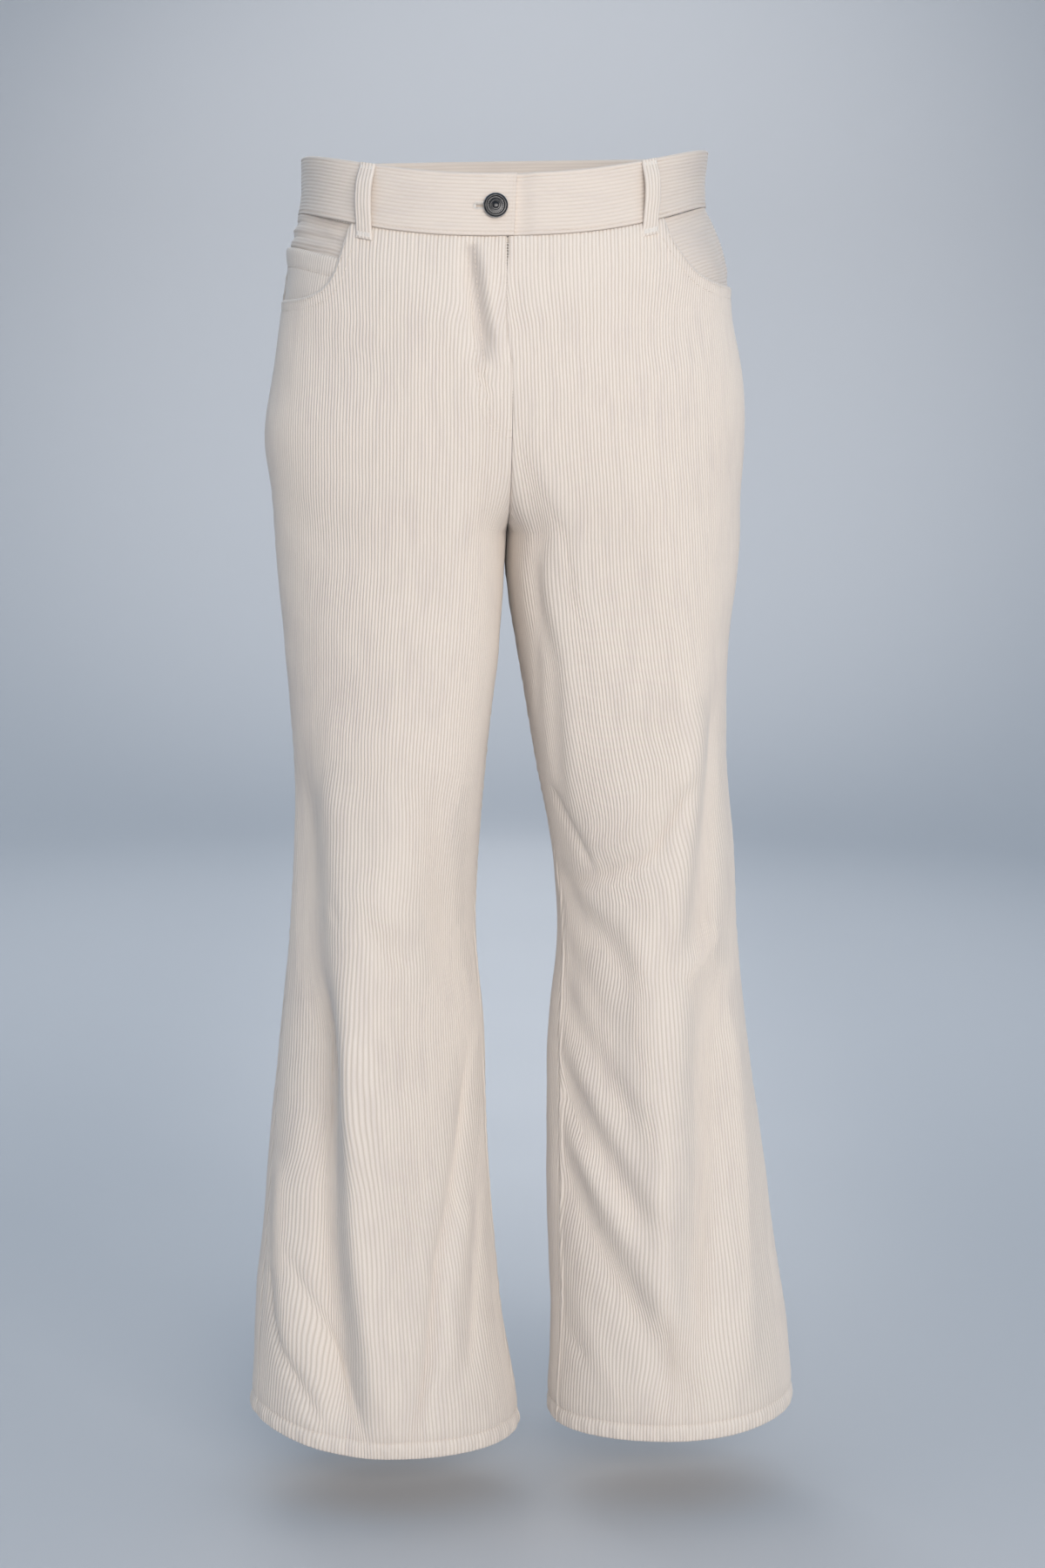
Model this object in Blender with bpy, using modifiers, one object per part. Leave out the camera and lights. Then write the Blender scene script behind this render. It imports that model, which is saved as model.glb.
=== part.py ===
"""Flared corduroy trousers, open at waist and hems, in the shape they take when worn.

The origin is at the waist: x = 0 is the centre-front seam, z = 0 the middle of the waistband
at the side, and the wearer faces -Y. The wearer's right is at -X. Sizes are in millimetres
and turned into metres where points are made.

Each side of the trousers is one surface. At every height it is a ring of four quarter
superellipses: closed round the leg below the fork, and cut at the centre seams above it.
Places on it are given as (across, z): "across" is the distance along the cloth from the
grain line down the middle of the leg, positive towards the outseam.
"""
import math
from typing import NamedTuple

import bmesh
import bpy
import numpy as np
from mathutils import Matrix, Vector

MM = 0.001

# Cloth
CLOTH = 1.6                 # wall of one corduroy layer
HEM_CLOTH = 2.9             # wall where the hem is turned up
HEM_DEPTH = 13.0            # depth of the turned-up hem
SEAM_GAP = 0.3              # air left between two pieces that touch
EDGE_STRIP = 2.0            # width of the last column beside a seam

# Waist
SEAM_SIDE_Z = -20.5         # waist seam at the side seams
SEAM_TILT = 0.031           # rise of the waist seam per millimetre of x
FRONT_DIP = 25.0            # how far the waist seam falls to the centre front
FRONT_DIP_Y = 110.0         # ... at this distance in front of the side seams
FRONT_DIP_POWER = 2.6
BACK_DIP = -10.0            # and how far it climbs to the centre back
BACK_DIP_Y = 122.0
BACK_DIP_POWER = 1.6
DIP_MOST = 1.1
BAND_HEIGHT = 41.0
BAND_WALL = 3.0
BAND_PROUD = 0.8            # the band's outer face stands this far off the panels' face
UNDERLAP = 38.0             # length of the band's left end under its right end
UNDER_START = 17.0          # it starts to dip inwards this far before the lap
BAND_COLUMNS = 56

# Fork
FORK_START_Z = -150.0       # the centre seams leave the belly and the seat here
FORK_Z = -275.0
FORK_POWER = 2.8
FRONT_FORK_Z = -252.0       # the front's centre seam turns under higher up than the back's
FRONT_FORK_POWER = 3.4
THIGH_POWER = 1.4           # the front keeps this much squarer a corner on the inner thigh
THIGH_SQUARE_Z = -360.0     # down to here, and rounds off again to the next height
THIGH_ROUND_Z = -560.0
THIGH_PART = 2.6            # the inner thighs stand this far off each other before the fork

# Fly and zip
FLY_EDGE_X = -5.0           # the right front's edge beside the zip
FLY_STRAIGHT_Z = -80.0      # it runs level with the zip down to here ...
FLY_END_Z = -150.0          # ... and meets the centre front here
ZIP_GLIMPSE = 1.3           # the edges stand this far apart under the band
ZIP_GLIMPSE_Z = -62.0       # and are closed by here
ZIP_GLIMPSE_RUN = 22.0      # after closing over this height
TAPE_HALF_WIDTH = 15.0
TAPE_TOP_Z = -47.0
TAPE_END_Z = -168.0
TAPE_WALL = 1.2
TAPE_ROWS = 8
TAPE_COLUMNS = 6
TAPE_OUT = -2.5             # its outer face lies this deep under the fronts' face

# Hidden depths under the panels, to the outer face of what lies there
UNDER_PANEL = -(CLOTH + SEAM_GAP)
ROUND_AIR = 0.85            # more air where flat facets lie on each other round the hip
COIN_WALL = 1.2
FACING_REACH = 12.0         # how far a facing runs on under the front's edge
FACING_FLUSH = 0.30         # flush with the front this share of the way to the mouth's edge,
FACING_SINKS = 0.42         # then it sinks to its full depth over this share
FACING_COLUMNS = 9
FACING_TURNS = (0, 12, 25, 38, 52, 64, 75)   # rows, as degrees round the mouth


class Depth(NamedTuple):
    """Front-to-back shape at one height, the same for both sides."""
    z: float
    front: float        # y of the foremost line
    back: float         # y of the rearmost line
    side_out: float     # y of the widest line, outer side
    side_in: float      # y of the widest line, inner side
    power: float        # 2 is an ellipse, more is squarer, less is keener


class Width(NamedTuple):
    """Side-to-side shape at one height of one side, as distances from the centre line."""
    z: float
    out: float          # outer edge
    inner: float        # inner edge of the leg (not used above the fork)
    ridge: float        # foremost line
    heel: float         # rearmost line
    grain: float        # grain line of the front
    seam_out: float     # outseam, measured forwards from the outer edge
    seam_in: float      # inseam, measured forwards from the inner edge


class Fold(NamedTuple):
    """A soft ridge (rise > 0) or trough (rise < 0) between two places of a panel."""
    top_z: float
    top_across: float
    low_z: float
    low_across: float
    half_width: float
    rise: float


class Scoop(NamedTuple):
    """The pocket mouth cut out of a front, from the waist seam to the outseam."""
    width: float
    height: float
    power: float


DEPTHS = (
    Depth(50, -99, 112, 0, 0, 2.3),
    Depth(0, -105, 115, 0, 0, 2.3),
    Depth(-45, -110, 122, 0, 0, 2.4),
    Depth(-100, -116, 138, -5, 0, 2.4),
    Depth(-160, -118, 148, -8, 2, 2.3),
    Depth(-215, -113, 142, -10, 5, 2.1),
    Depth(-275, -104, 122, -12, 8, 1.9),
    Depth(-350, -99, 98, -10, 5, 1.8),
    Depth(-430, -94, 80, -8, 0, 1.75),
    Depth(-500, -90, 68, -8, -5, 1.7),
    Depth(-600, -87, 60, -8, -5, 1.6),
    Depth(-700, -86, 58, -6, -5, 1.6),
    Depth(-800, -86, 58, -4, -4, 1.75),
    Depth(-900, -88, 60, -2, -2, 1.9),
    Depth(-980, -90, 62, 0, 0, 2.0),
)

WIDTHS_RIGHT = (
    Width(50, 153, 0, 0, 0, 86, 0, 0),
    Width(-30, 156, 0, 0, 0, 90, 0, 0),
    Width(-48, 161, 0, 0, 0, 91, 0, 0),
    Width(-100, 169, 0, 4, 10, 92, 0, 0),
    Width(-150, 175, 0, 16, 34, 92, 0, 0),
    Width(-187, 180, 0, 34, 58, 92, 0, 0),
    Width(-225, 176, 0, 50, 78, 92, -2, 0),
    Width(-275, 172, 0, 64, 88, 93, -4, 0),
    Width(-345, 166, 5, 73, 90, 96, -6, 0),
    Width(-425, 160, 13, 80, 89, 100, -6, 2),
    Width(-500, 160, 19, 86, 89, 101, -4, 3),
    Width(-560, 163, 20, 97, 90, 100, 0, 3),
    Width(-640, 170, 13, 99, 91, 97, 6, 3),
    Width(-720, 178, 10, 92, 94, 93, 12, 4),
    Width(-800, 185, 4, 86, 95, 88, 18, 5),
    Width(-870, 191, -3, 83, 93, 84, 23, 5),
    Width(-930, 194, -14, 83, 90, 83, 27, 5),
    Width(-980, 197, -19, 83, 89, 83, 28, 5),
)

WIDTHS_LEFT = (
    Width(50, 149.5, 0, 0, 0, 62, 0, 0),
    Width(-30, 150.5, 0, 0, 0, 63, 0, 0),
    Width(-48, 160, 0, 0, 0, 63, 0, 0),
    Width(-100, 168, 0, 8, 10, 64, 0, 0),
    Width(-150, 177, 0, 26, 34, 66, 0, 0),
    Width(-187, 179, 0, 50, 60, 68, 0, 0),
    Width(-225, 177, 0, 78, 80, 71, 0, 0),
    Width(-275, 176, 0, 104, 92, 74, 0, 0),
    Width(-345, 170, 11, 120, 94, 82, 3, 2),
    Width(-425, 171, 25, 129, 98, 95, 7, 5),
    Width(-500, 179, 39, 118, 108, 104, 4, 10),
    Width(-560, 183, 43, 110, 113, 108, 0, 16),
    Width(-640, 192, 38, 115, 115, 110, -4, 23),
    Width(-720, 205, 37, 118, 121, 117, -6, 27),
    Width(-800, 217, 39, 122, 128, 120, -6, 29),
    Width(-870, 229, 42, 129, 135, 122, -5, 29),
    Width(-930, 236, 41, 132, 138, 124, -4, 28),
    Width(-980, 239, 41, 133, 140, 125, -4, 28),
)

# Height of the hem's edge at the outseam, inseam, front and back of each leg
HEM_RIGHT = {"out": -946.0, "in": -963.0, "front": -958.0, "back": -955.0}
HEM_LEFT = {"out": -942.0, "in": -953.0, "front": -946.0, "back": -947.0}
HEM_PLAIN_Z = -952.0        # the mean of them, where the rows are laid out
HEM_TOP_Z = HEM_PLAIN_Z + HEM_DEPTH

# Rows run along the waist seam above the first height and along the hem below the last one
FOLLOW_WAIST_Z = -50.5
LEVEL_ROWS_Z = -700.0
FOLLOW_HEM_Z = -912.0

FOLDS_FRONT_RIGHT = (
    Fold(-430, 82, -730, 60, 22, -4.5),
    Fold(-600, 50, -720, 41, 14, -4.5),
    Fold(-720, 41, -935, 28, 14, -6.0),
    Fold(-660, -86, -774, -57, 11, -4.0),
    Fold(-774, -57, -935, -20, 11, -4.5),
    Fold(-60, -62, -130, -78, 9, -2.5),
)
FOLDS_FRONT_LEFT = (
    Fold(-375, 84, -570, 46, 15, -4.5),
    Fold(-590, 60, -760, 43, 18, -5.0),
    Fold(-760, 43, -910, 30, 18, -5.5),
    Fold(-436, 44, -503, -16, 10, -4.0),
    Fold(-512, -86, -596, -14, 12, -2.8),
    Fold(-662, -86, -780, -12, 13, -3.6),
    Fold(-735, -86, -867, -4, 14, -4.5),
    Fold(-190, -62, -300, -66, 12, -2.2),
    Fold(-280, -62, -450, -72, 10, -2.8),
)
FOLDS_BACK = (
    Fold(-205, -70, -262, 30, 14, -4.5),
    Fold(-250, -78, -330, 10, 14, -4.0),
    Fold(-470, -60, -520, 30, 13, -4.0),
    Fold(-520, 62, -560, -20, 13, -4.0),
    Fold(-620, 45, -900, 38, 16, -5.0),
    Fold(-640, -42, -900, -50, 16, -5.0),
)

SCOOP_RIGHT = Scoop(94.0, 63.0, 2.5)
SCOOP_LEFT = Scoop(92.0, 57.0, 2.5)

# Belt loops: node name and place round the waist, as a share of it from the centre front
# towards the wearer's right
LOOP_PLACES = {
    "belt_loop_front_right": 0.1274,
    "belt_loop_back_right": 0.3435,
    "belt_loop_centre_back": 0.4997,
    "belt_loop_back_left": 0.6616,
    "belt_loop_front_left": 0.8826,
}
LOOP_WIDTH = 12.5
LOOP_WALL = 1.8
LOOP_CROWN = 7.6            # air between the band and the loop's middle
LOOP_FOOT = 9.0             # the loop is tacked down this far under the waist seam
LOOP_FOOT_AIR = 0.55        # its foot clears the hollow of the cloth there by this much
LOOP_RISE = (               # height over the waist seam, share of the crown's air there
    (-1.5, 0.1), (4.0, 0.4), (12.0, 0.86), (20.0, 1.0), (28.0, 0.82), (35.0, 0.3),
    (BAND_HEIGHT - 1.5, 0.0), (BAND_HEIGHT, 0.0),
)

# Coin pocket: rows below the waist seam, and its first column from the outseam
COIN_ROWS = (24.0, 25.5, 38.0, 50.0, 59.0, 66.0)
COIN_FROM_SEAM = 6.0
COIN_SHORT = 3.0             # it ends this far short of the facing's own edge

# Button and slider
BUTTON_X = -14.0
BUTTON_Z = -26.3
BUTTON_RADIUS = 8.5
BUTTON_THICK = 3.0
SHANK_RADIUS = 2.2
EYELET_RADIUS = 2.7
BUTTONHOLE_LENGTH = 14.0
BUTTONHOLE_WIDTH = 1.2
SLIDER_SIZE = (8.0, 3.0, 10.0)
SLIDER_TOP_Z = -48.0

# Folds: how they run out at their ends and beside the seams
FOLD_RUNOUT = 20.0
FOLD_FADE = 45.0
FOLD_OFF_SEAM = 14.0

# Levels of the surface tables
LEVEL_STEP = 2.5
LEVEL_TOP = 50.0
LEVEL_LOW = -980.0
ACROSS_STEP = 1.0
ACROSS_MAX = 560.0
QUARTER_STEPS = 120
STRAIGHT_ON = 12.0          # the rings run on this far past the centre seams
NORMAL_STEP = 1.5           # distance over which the surface's normal is measured
LEAST_REACH = 0.02

# Columns of a panel between its seams, outside and inside the line that stays put
FRONT_COLUMNS = (8, 6)
BACK_COLUMNS = (7, 6)
FRONT_PIVOT = -8.0          # across
BACK_PIVOT = 125.0          # from the outseam

# Rows of a panel: down the pocket mouth by its turn in degrees, then (height, rows on the way to it)
SCOOP_TURNS = (0.0, 6.0, 15.0, 29.0, 45.0, 62.0, 77.0, 90.0)
ROWS_BELOW_SCOOP = (
    (-215.0, 6), (FRONT_FORK_Z, 4), (FORK_Z, 3), (-295.0, 2), (-415.0, 4), (-515.0, 5), (-925.0, 13),
    (HEM_TOP_Z + 1.0, 1), (HEM_TOP_Z, 1), (HEM_PLAIN_Z, 1),
)

CORDUROY = ((0.757, 0.678, 0.604, 1.0), 0.9, 0.0)
TAPE = ((0.70, 0.64, 0.57, 1.0), 0.85, 0.0)
GUNMETAL = ((0.045, 0.045, 0.05, 1.0), 0.35, 0.9)


def column(rows, name, z):
    """Value of a named column at heights z, on a smooth curve through the rows."""
    ordered = sorted(rows, key=lambda row: row.z)
    heights = np.array([row.z for row in ordered], float)
    values = np.array([getattr(row, name) for row in ordered], float)
    slopes = np.gradient(values, heights)
    z = np.clip(np.asarray(z, float), heights[0], heights[-1])
    k = np.clip(np.searchsorted(heights, z) - 1, 0, len(heights) - 2)
    span = heights[k + 1] - heights[k]
    t = (z - heights[k]) / span
    return (values[k] * (2 * t ** 3 - 3 * t ** 2 + 1) + values[k + 1] * (3 * t ** 2 - 2 * t ** 3)
            + span * (slopes[k] * (t ** 3 - 2 * t ** 2 + t) + slopes[k + 1] * (t ** 3 - t ** 2)))


def ease(value):
    """Smooth step from 0 to 1."""
    t = np.clip(value, 0.0, 1.0)
    return t * t * (3 - 2 * t)


def fork_held(z, fork_z, power):
    """Share of the depth that a centre seam still has at height z, on its way under to the fork."""
    drop = np.clip((FORK_START_Z - z) / (FORK_START_Z - fork_z), 0.0, 1.0)
    return min((1 - drop ** power) ** (1 / power), 1.0)


class Side:
    """One side of the trousers as a surface over (across, z)."""

    def __init__(self, sign, widths, front_folds, hem):
        self.sign = sign
        self.widths = widths
        self.front_folds = front_folds
        self.hem = hem
        self.levels = np.arange(LEVEL_LOW, LEVEL_TOP + LEVEL_STEP, LEVEL_STEP)
        self.across = np.arange(-ACROSS_MAX, ACROSS_MAX + ACROSS_STEP, ACROSS_STEP)
        rings = [self.ring(z) for z in self.levels]
        self.x = np.array([ring[0] for ring in rings])
        self.y = np.array([ring[1] for ring in rings])
        self.bounds = {name: np.array([ring[2][name] for ring in rings]) for name in rings[0][2]}

    def ring(self, z):
        """Plan of the ring at height z, resampled at even steps across, and its seams."""
        width = {name: float(column(self.widths, name, z)) for name in Width._fields[1:]}
        depth = {name: float(column(DEPTHS, name, z)) for name in Depth._fields[1:]}
        power = depth["power"]
        share = np.linspace(0.0, 1.0, QUARTER_STEPS)
        angle = share * math.pi / 2
        u, v = np.sin(angle) ** (2 / power), np.cos(angle) ** (2 / power)

        def outer(line_x, line_y):
            """Quarter from a foremost or rearmost line out to the outer edge."""
            return (line_x + (width["out"] - line_x) * u,
                    depth["side_out"] + (line_y - depth["side_out"]) * v)

        above = z > FORK_Z

        def inner(line_x, line_y, power, held, parted):
            """Quarter from the line to the inner edge, or to the centre seam above the fork."""
            reach = 1.0
            edge = width["inner"]
            if above:
                reach = max((1 - held ** power) ** (1 / power), LEAST_REACH)
                edge = 0.0
            turn = share * math.asin(reach ** (power / 2))
            on = np.sin(turn) ** (2 / power) / reach
            return (line_x + (edge - line_x) * on + parted * np.sin(math.pi * share) ** 2,
                    depth["side_in"] + (line_y - depth["side_in"]) * np.cos(turn) ** (2 / power))

        square = power + THIGH_POWER * ease((z - THIGH_ROUND_Z) / (THIGH_SQUARE_Z - THIGH_ROUND_Z))
        parted = THIGH_PART * (ease((FORK_START_Z - z) / (FORK_START_Z - FORK_Z))
                               * ease((z - THIGH_SQUARE_Z) / (FORK_Z - THIGH_SQUARE_Z)))
        front_in = [part[::-1] for part in inner(width["ridge"], depth["front"], square,
                                                 fork_held(z, FRONT_FORK_Z, FRONT_FORK_POWER), parted)]
        back_in = inner(width["heel"], depth["back"], power, fork_held(z, FORK_Z, FORK_POWER), 0.0)
        front_out = outer(width["ridge"], depth["front"])
        back_out = [part[::-1] for part in outer(width["heel"], depth["back"])]
        x = np.concatenate([front_in[0], front_out[0][1:], back_out[0][1:], back_in[0][1:]])
        y = np.concatenate([front_in[1], front_out[1][1:], back_out[1][1:], back_in[1][1:]])
        arc = np.concatenate([[0.0], np.cumsum(np.hypot(np.diff(x), np.diff(y)))])
        front = slice(0, 2 * QUARTER_STEPS - 1)
        grain = np.interp(width["grain"], x[front], arc[front])
        across = arc - grain
        bounds = {
            "front_in": across[0] + (0.0 if above else width["seam_in"]),
            "out": across[2 * QUARTER_STEPS - 2] - width["seam_out"],
            "back_in": across[-1] + (0.0 if above else width["seam_in"]),
            "heel": across[3 * QUARTER_STEPS - 3],
        }
        if above:
            x = np.concatenate([[x[0] - STRAIGHT_ON], x, [x[-1] - STRAIGHT_ON]])
            y = np.concatenate([[y[0]], y, [y[-1]]])
            across = np.concatenate([[across[0] - STRAIGHT_ON], across, [across[-1] + STRAIGHT_ON]])
        else:
            girth = arc[-1]
            x = np.concatenate([x[:-1], x, x[1:]])
            y = np.concatenate([y[:-1], y, y[1:]])
            across = np.concatenate([across[:-1] - girth, across, across[1:] + girth])
        keep = np.concatenate([[True], np.diff(across) > 1e-6])
        return (np.interp(self.across, across[keep], x[keep]),
                np.interp(self.across, across[keep], y[keep]), bounds)

    def bound(self, name, z):
        """Place of a seam, across, at heights z."""
        return np.interp(z, self.levels, self.bounds[name])

    def plan(self, across, z):
        """Plan point of the smooth surface, before folds."""
        i = np.clip((z - LEVEL_LOW) / LEVEL_STEP, 0, len(self.levels) - 1.001)
        j = np.clip((across + ACROSS_MAX) / ACROSS_STEP, 0, len(self.across) - 1.001)
        i0, j0 = i.astype(int), j.astype(int)
        a, b = i - i0, j - j0

        def blend(table):
            return ((1 - a) * ((1 - b) * table[i0, j0] + b * table[i0, j0 + 1])
                    + a * ((1 - b) * table[i0 + 1, j0] + b * table[i0 + 1, j0 + 1]))

        return blend(self.x), blend(self.y)

    def lift(self, across, z):
        """Height of the folds at a place."""
        front_in, out, back_in = (self.bound(name, z) for name in ("front_in", "out", "back_in"))
        is_front = across <= out
        from_heel = across - self.bound("heel", z)
        rise = (np.where(is_front, fold_height(self.front_folds, across, z), 0.0)
                + np.where(is_front, 0.0, fold_height(FOLDS_BACK, from_heel, z)))
        near_seam = np.minimum(np.abs(across - out),
                               np.minimum(np.abs(across - front_in), np.abs(across - back_in)))
        return rise * ease(near_seam / FOLD_OFF_SEAM)

    def points(self, across, z, out=0.0):
        """Points of the cloth's outer face in millimetres, moved out along its normal."""
        across, z = np.broadcast_arrays(np.asarray(across, float), np.asarray(z, float))
        step = NORMAL_STEP
        east = np.stack(self.plan(across + step, z) + (z,), -1)
        west = np.stack(self.plan(across - step, z) + (z,), -1)
        high = np.stack(self.plan(across, z + 2 * step) + (z + 2 * step,), -1)
        low = np.stack(self.plan(across, z - 2 * step) + (z - 2 * step,), -1)
        normal = np.cross(east - west, high - low)
        normal /= np.linalg.norm(normal, axis=-1, keepdims=True)
        place = np.stack(self.plan(across, z) + (z,), -1)
        place = place + normal * (self.lift(across, z) + out)[..., None]
        return place * np.array([self.sign, 1.0, 1.0])


def fold_height(folds, across, z):
    """Summed height of the folds at a place, each one soft at its sides and ends."""
    total = np.zeros(np.broadcast(across, z).shape)
    for fold in folds:
        run_z, run_across = fold.low_z - fold.top_z, fold.low_across - fold.top_across
        length = math.hypot(run_z, run_across)
        along = ((z - fold.top_z) * run_z + (across - fold.top_across) * run_across) / length
        aside = ((across - fold.top_across) * run_z - (z - fold.top_z) * run_across) / length
        fade = (ease((along + FOLD_RUNOUT) / FOLD_FADE)
                * ease((length + FOLD_RUNOUT - along) / FOLD_FADE))
        total = total + fold.rise * fade * np.exp(-(aside / fold.half_width) ** 2)
    return total


def waist_seam_z(x, y):
    """Height of the waist seam at a plan point."""
    front = np.clip(-y / FRONT_DIP_Y, 0.0, DIP_MOST) ** FRONT_DIP_POWER
    back = np.clip(y / BACK_DIP_Y, 0.0, DIP_MOST) ** BACK_DIP_POWER
    return SEAM_SIDE_Z + SEAM_TILT * x - FRONT_DIP * front - BACK_DIP * back


def hem_z(side, x, y):
    """Height of the hem's edge at a plan point of a leg, x measured from the centre line."""
    edges = [float(column(side.widths, name, HEM_PLAIN_Z)) for name in ("inner", "out")]
    ends = [float(column(DEPTHS, name, HEM_PLAIN_Z)) for name in ("front", "back")]
    east = (2 * x - sum(edges)) / (edges[1] - edges[0])
    north = (2 * y - sum(ends)) / (ends[1] - ends[0])
    sides = np.where(east > 0, side.hem["out"], side.hem["in"])
    ends = np.where(north < 0, side.hem["front"], side.hem["back"])
    return (sides * east ** 2 + ends * north ** 2) / (east ** 2 + north ** 2)


def fly_edge_x(z):
    """Centre-front edge of the right front."""
    return FLY_EDGE_X * (1 - ease((FLY_STRAIGHT_Z - z) / (FLY_STRAIGHT_Z - FLY_END_Z)))


def row_heights(scoop):
    """Plain heights of a panel's rows, from the waist seam to the hem."""
    turns = [math.radians(turn) for turn in SCOOP_TURNS]
    heights = [-scoop.height * math.sin(turn) ** (2 / scoop.power) + SEAM_SIDE_Z for turn in turns]
    for end, count in ROWS_BELOW_SCOOP:
        start = heights[-1]
        heights += [start + (end - start) * (k + 1) / count for k in range(count)]
    return np.array(heights)


def true_height(side, across, plain):
    """Height of a row at a place: level in the middle, along the waist seam and hem at its ends."""
    top_share = ease((plain - FORK_START_Z) / (FOLLOW_WAIST_Z - FORK_START_Z))
    hem_share = ease((LEVEL_ROWS_Z - plain) / (LEVEL_ROWS_Z - FOLLOW_HEM_Z))
    z = np.array(plain, float) + 0.0 * across
    for _ in range(4):
        x, y = side.plan(across, z)
        to_waist = waist_seam_z(x * side.sign, y) - SEAM_SIDE_Z - SEAM_GAP / 2
        to_hem = hem_z(side, x, y) - HEM_PLAIN_Z
        z = plain + top_share * to_waist + hem_share * to_hem
    return z


def spread(start, pivot, end, outside, inside):
    """Columns from start to end, even on each side of a line that stays put, narrow at both seams."""
    strip = math.copysign(EDGE_STRIP, end - start)
    first = np.linspace(start + strip, pivot, outside)
    second = np.linspace(pivot, end - strip, inside + 1)[1:]
    return np.concatenate([[start], first, second, [end]])


def collection():
    """The collection that holds the trousers."""
    found = bpy.data.collections.get("corduroy_trousers")
    if found is None:
        found = bpy.data.collections.new("corduroy_trousers")
        bpy.context.scene.collection.children.link(found)
    return found


def material(name, finish):
    """Principled material with a colour, a roughness and a metallic value."""
    found = bpy.data.materials.get(name)
    if found is None:
        found = bpy.data.materials.new(name)
        found.use_nodes = True
        shader = found.node_tree.nodes["Principled BSDF"]
        shader.inputs["Base Color"].default_value = finish[0]
        shader.inputs["Roughness"].default_value = finish[1]
        shader.inputs["Metallic"].default_value = finish[2]
    return found


def grid_object(name, points, finish):
    """Named object from a grid whose points are laid on a surface (rows down, columns along)."""
    rows, columns = points.shape[:2]
    mesh = bpy.data.meshes.new(name)
    work = bmesh.new()
    bmesh.ops.create_grid(work, x_segments=columns - 1, y_segments=rows - 1, size=1.0)
    work.verts.ensure_lookup_table()
    for vert in work.verts:
        j = round((vert.co.x + 1) / 2 * (columns - 1))
        i = round((vert.co.y + 1) / 2 * (rows - 1))
        vert.co = points[i, j] * MM
    work.to_mesh(mesh)
    work.free()
    mesh.shade_smooth()
    made = bpy.data.objects.new(name, mesh)
    mesh.materials.append(material(*finish))
    collection().objects.link(made)
    return made


def face_outwards(made, outward):
    """Turn the grid's faces so that its middle one looks along a direction."""
    mesh = made.data
    middle = mesh.polygons[len(mesh.polygons) // 2]
    if middle.normal.dot(Vector(outward)) < 0:
        mesh.flip_normals()


def thicken(made, wall, thin_share=None, outwards=False):
    """Give an open cloth surface its wall, inwards; a vertex group may thin part of it."""
    solid = made.modifiers.new("Wall", "SOLIDIFY")
    solid.thickness = wall * MM
    solid.offset = 1.0 if outwards else -1.0
    solid.use_even_offset = False
    if thin_share is not None:
        solid.vertex_group = "doubled"
        solid.thickness_vertex_group = thin_share
    return solid


def seam_place(side, name, plain):
    """Place of a seam, across, at the true height that a row has there."""
    across = side.bound(name, plain)
    for _ in range(3):
        across = side.bound(name, true_height(side, across, plain))
    return float(across)


def scoop_reach(scoop, plain):
    """How far the pocket mouth reaches from the outseam at a row."""
    fallen = (SEAM_SIDE_Z - plain) / scoop.height
    return scoop.width * max(1 - fallen ** scoop.power, 0.0) ** (1 / scoop.power) if fallen < 1 else 0.0


def panel_rows(side, part, scoop):
    """Places (across, z) of a panel's grid, rows down and columns from the outseam inwards."""
    columns = FRONT_COLUMNS if part == "front" else BACK_COLUMNS
    rows_z, rows_across = [], []
    for plain in row_heights(scoop):
        if part == "front":
            pivot = FRONT_PIVOT
            start = seam_place(side, "out", plain) - SEAM_GAP / 2 - scoop_reach(scoop, plain)
            end = seam_place(side, "front_in", plain) + centre_gap(side, plain)
        else:
            start = seam_place(side, "out", plain) + SEAM_GAP / 2
            end = seam_place(side, "back_in", plain) - SEAM_GAP / 2
            pivot = start + BACK_PIVOT
        across = spread(start, pivot, end, *columns)
        rows_across.append(across)
        rows_z.append(true_height(side, across, plain))
    return np.array(rows_across), np.array(rows_z)


def centre_gap(side, plain):
    """How far a front's centre edge stands off the centre line, along the cloth."""
    if plain < FLY_END_Z:
        return SEAM_GAP / 2
    edge = float(fly_edge_x(plain))
    if side.sign < 0:
        return -edge + SEAM_GAP / 2
    opened = ZIP_GLIMPSE * float(ease((plain - ZIP_GLIMPSE_Z) / ZIP_GLIMPSE_RUN))
    return edge + SEAM_GAP / 2 + opened


def panel(name, side, part, scoop, finish):
    """Front or back of one side, from the waist seam to the hem, hem doubled."""
    across, z = panel_rows(side, part, scoop)
    points = side.points(across, z)
    heights = row_heights(scoop)
    for row, plain in enumerate(heights):
        if plain > FORK_Z - 1.0:
            gap = centre_gap(side, plain) if part == "front" else SEAM_GAP / 2
            points[row, :, 0] = side.sign * np.maximum(side.sign * points[row, :, 0], gap)
            points[row, -1, 0] = side.sign * gap
    made = grid_object(name, points, finish)
    middle = (len(heights) // 2, points.shape[1] // 2)
    face_outwards(made, side.points(across[middle], z[middle], 5.0) - points[middle])
    doubled = made.vertex_groups.new(name="doubled")
    count = points.shape[1]
    doubled.add([k for k in range(count * len(heights)) if heights[k // count] < HEM_TOP_Z + 0.5],
                1.0, "REPLACE")
    thicken(made, HEM_CLOTH, CLOTH / HEM_CLOTH)
    return made


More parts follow.
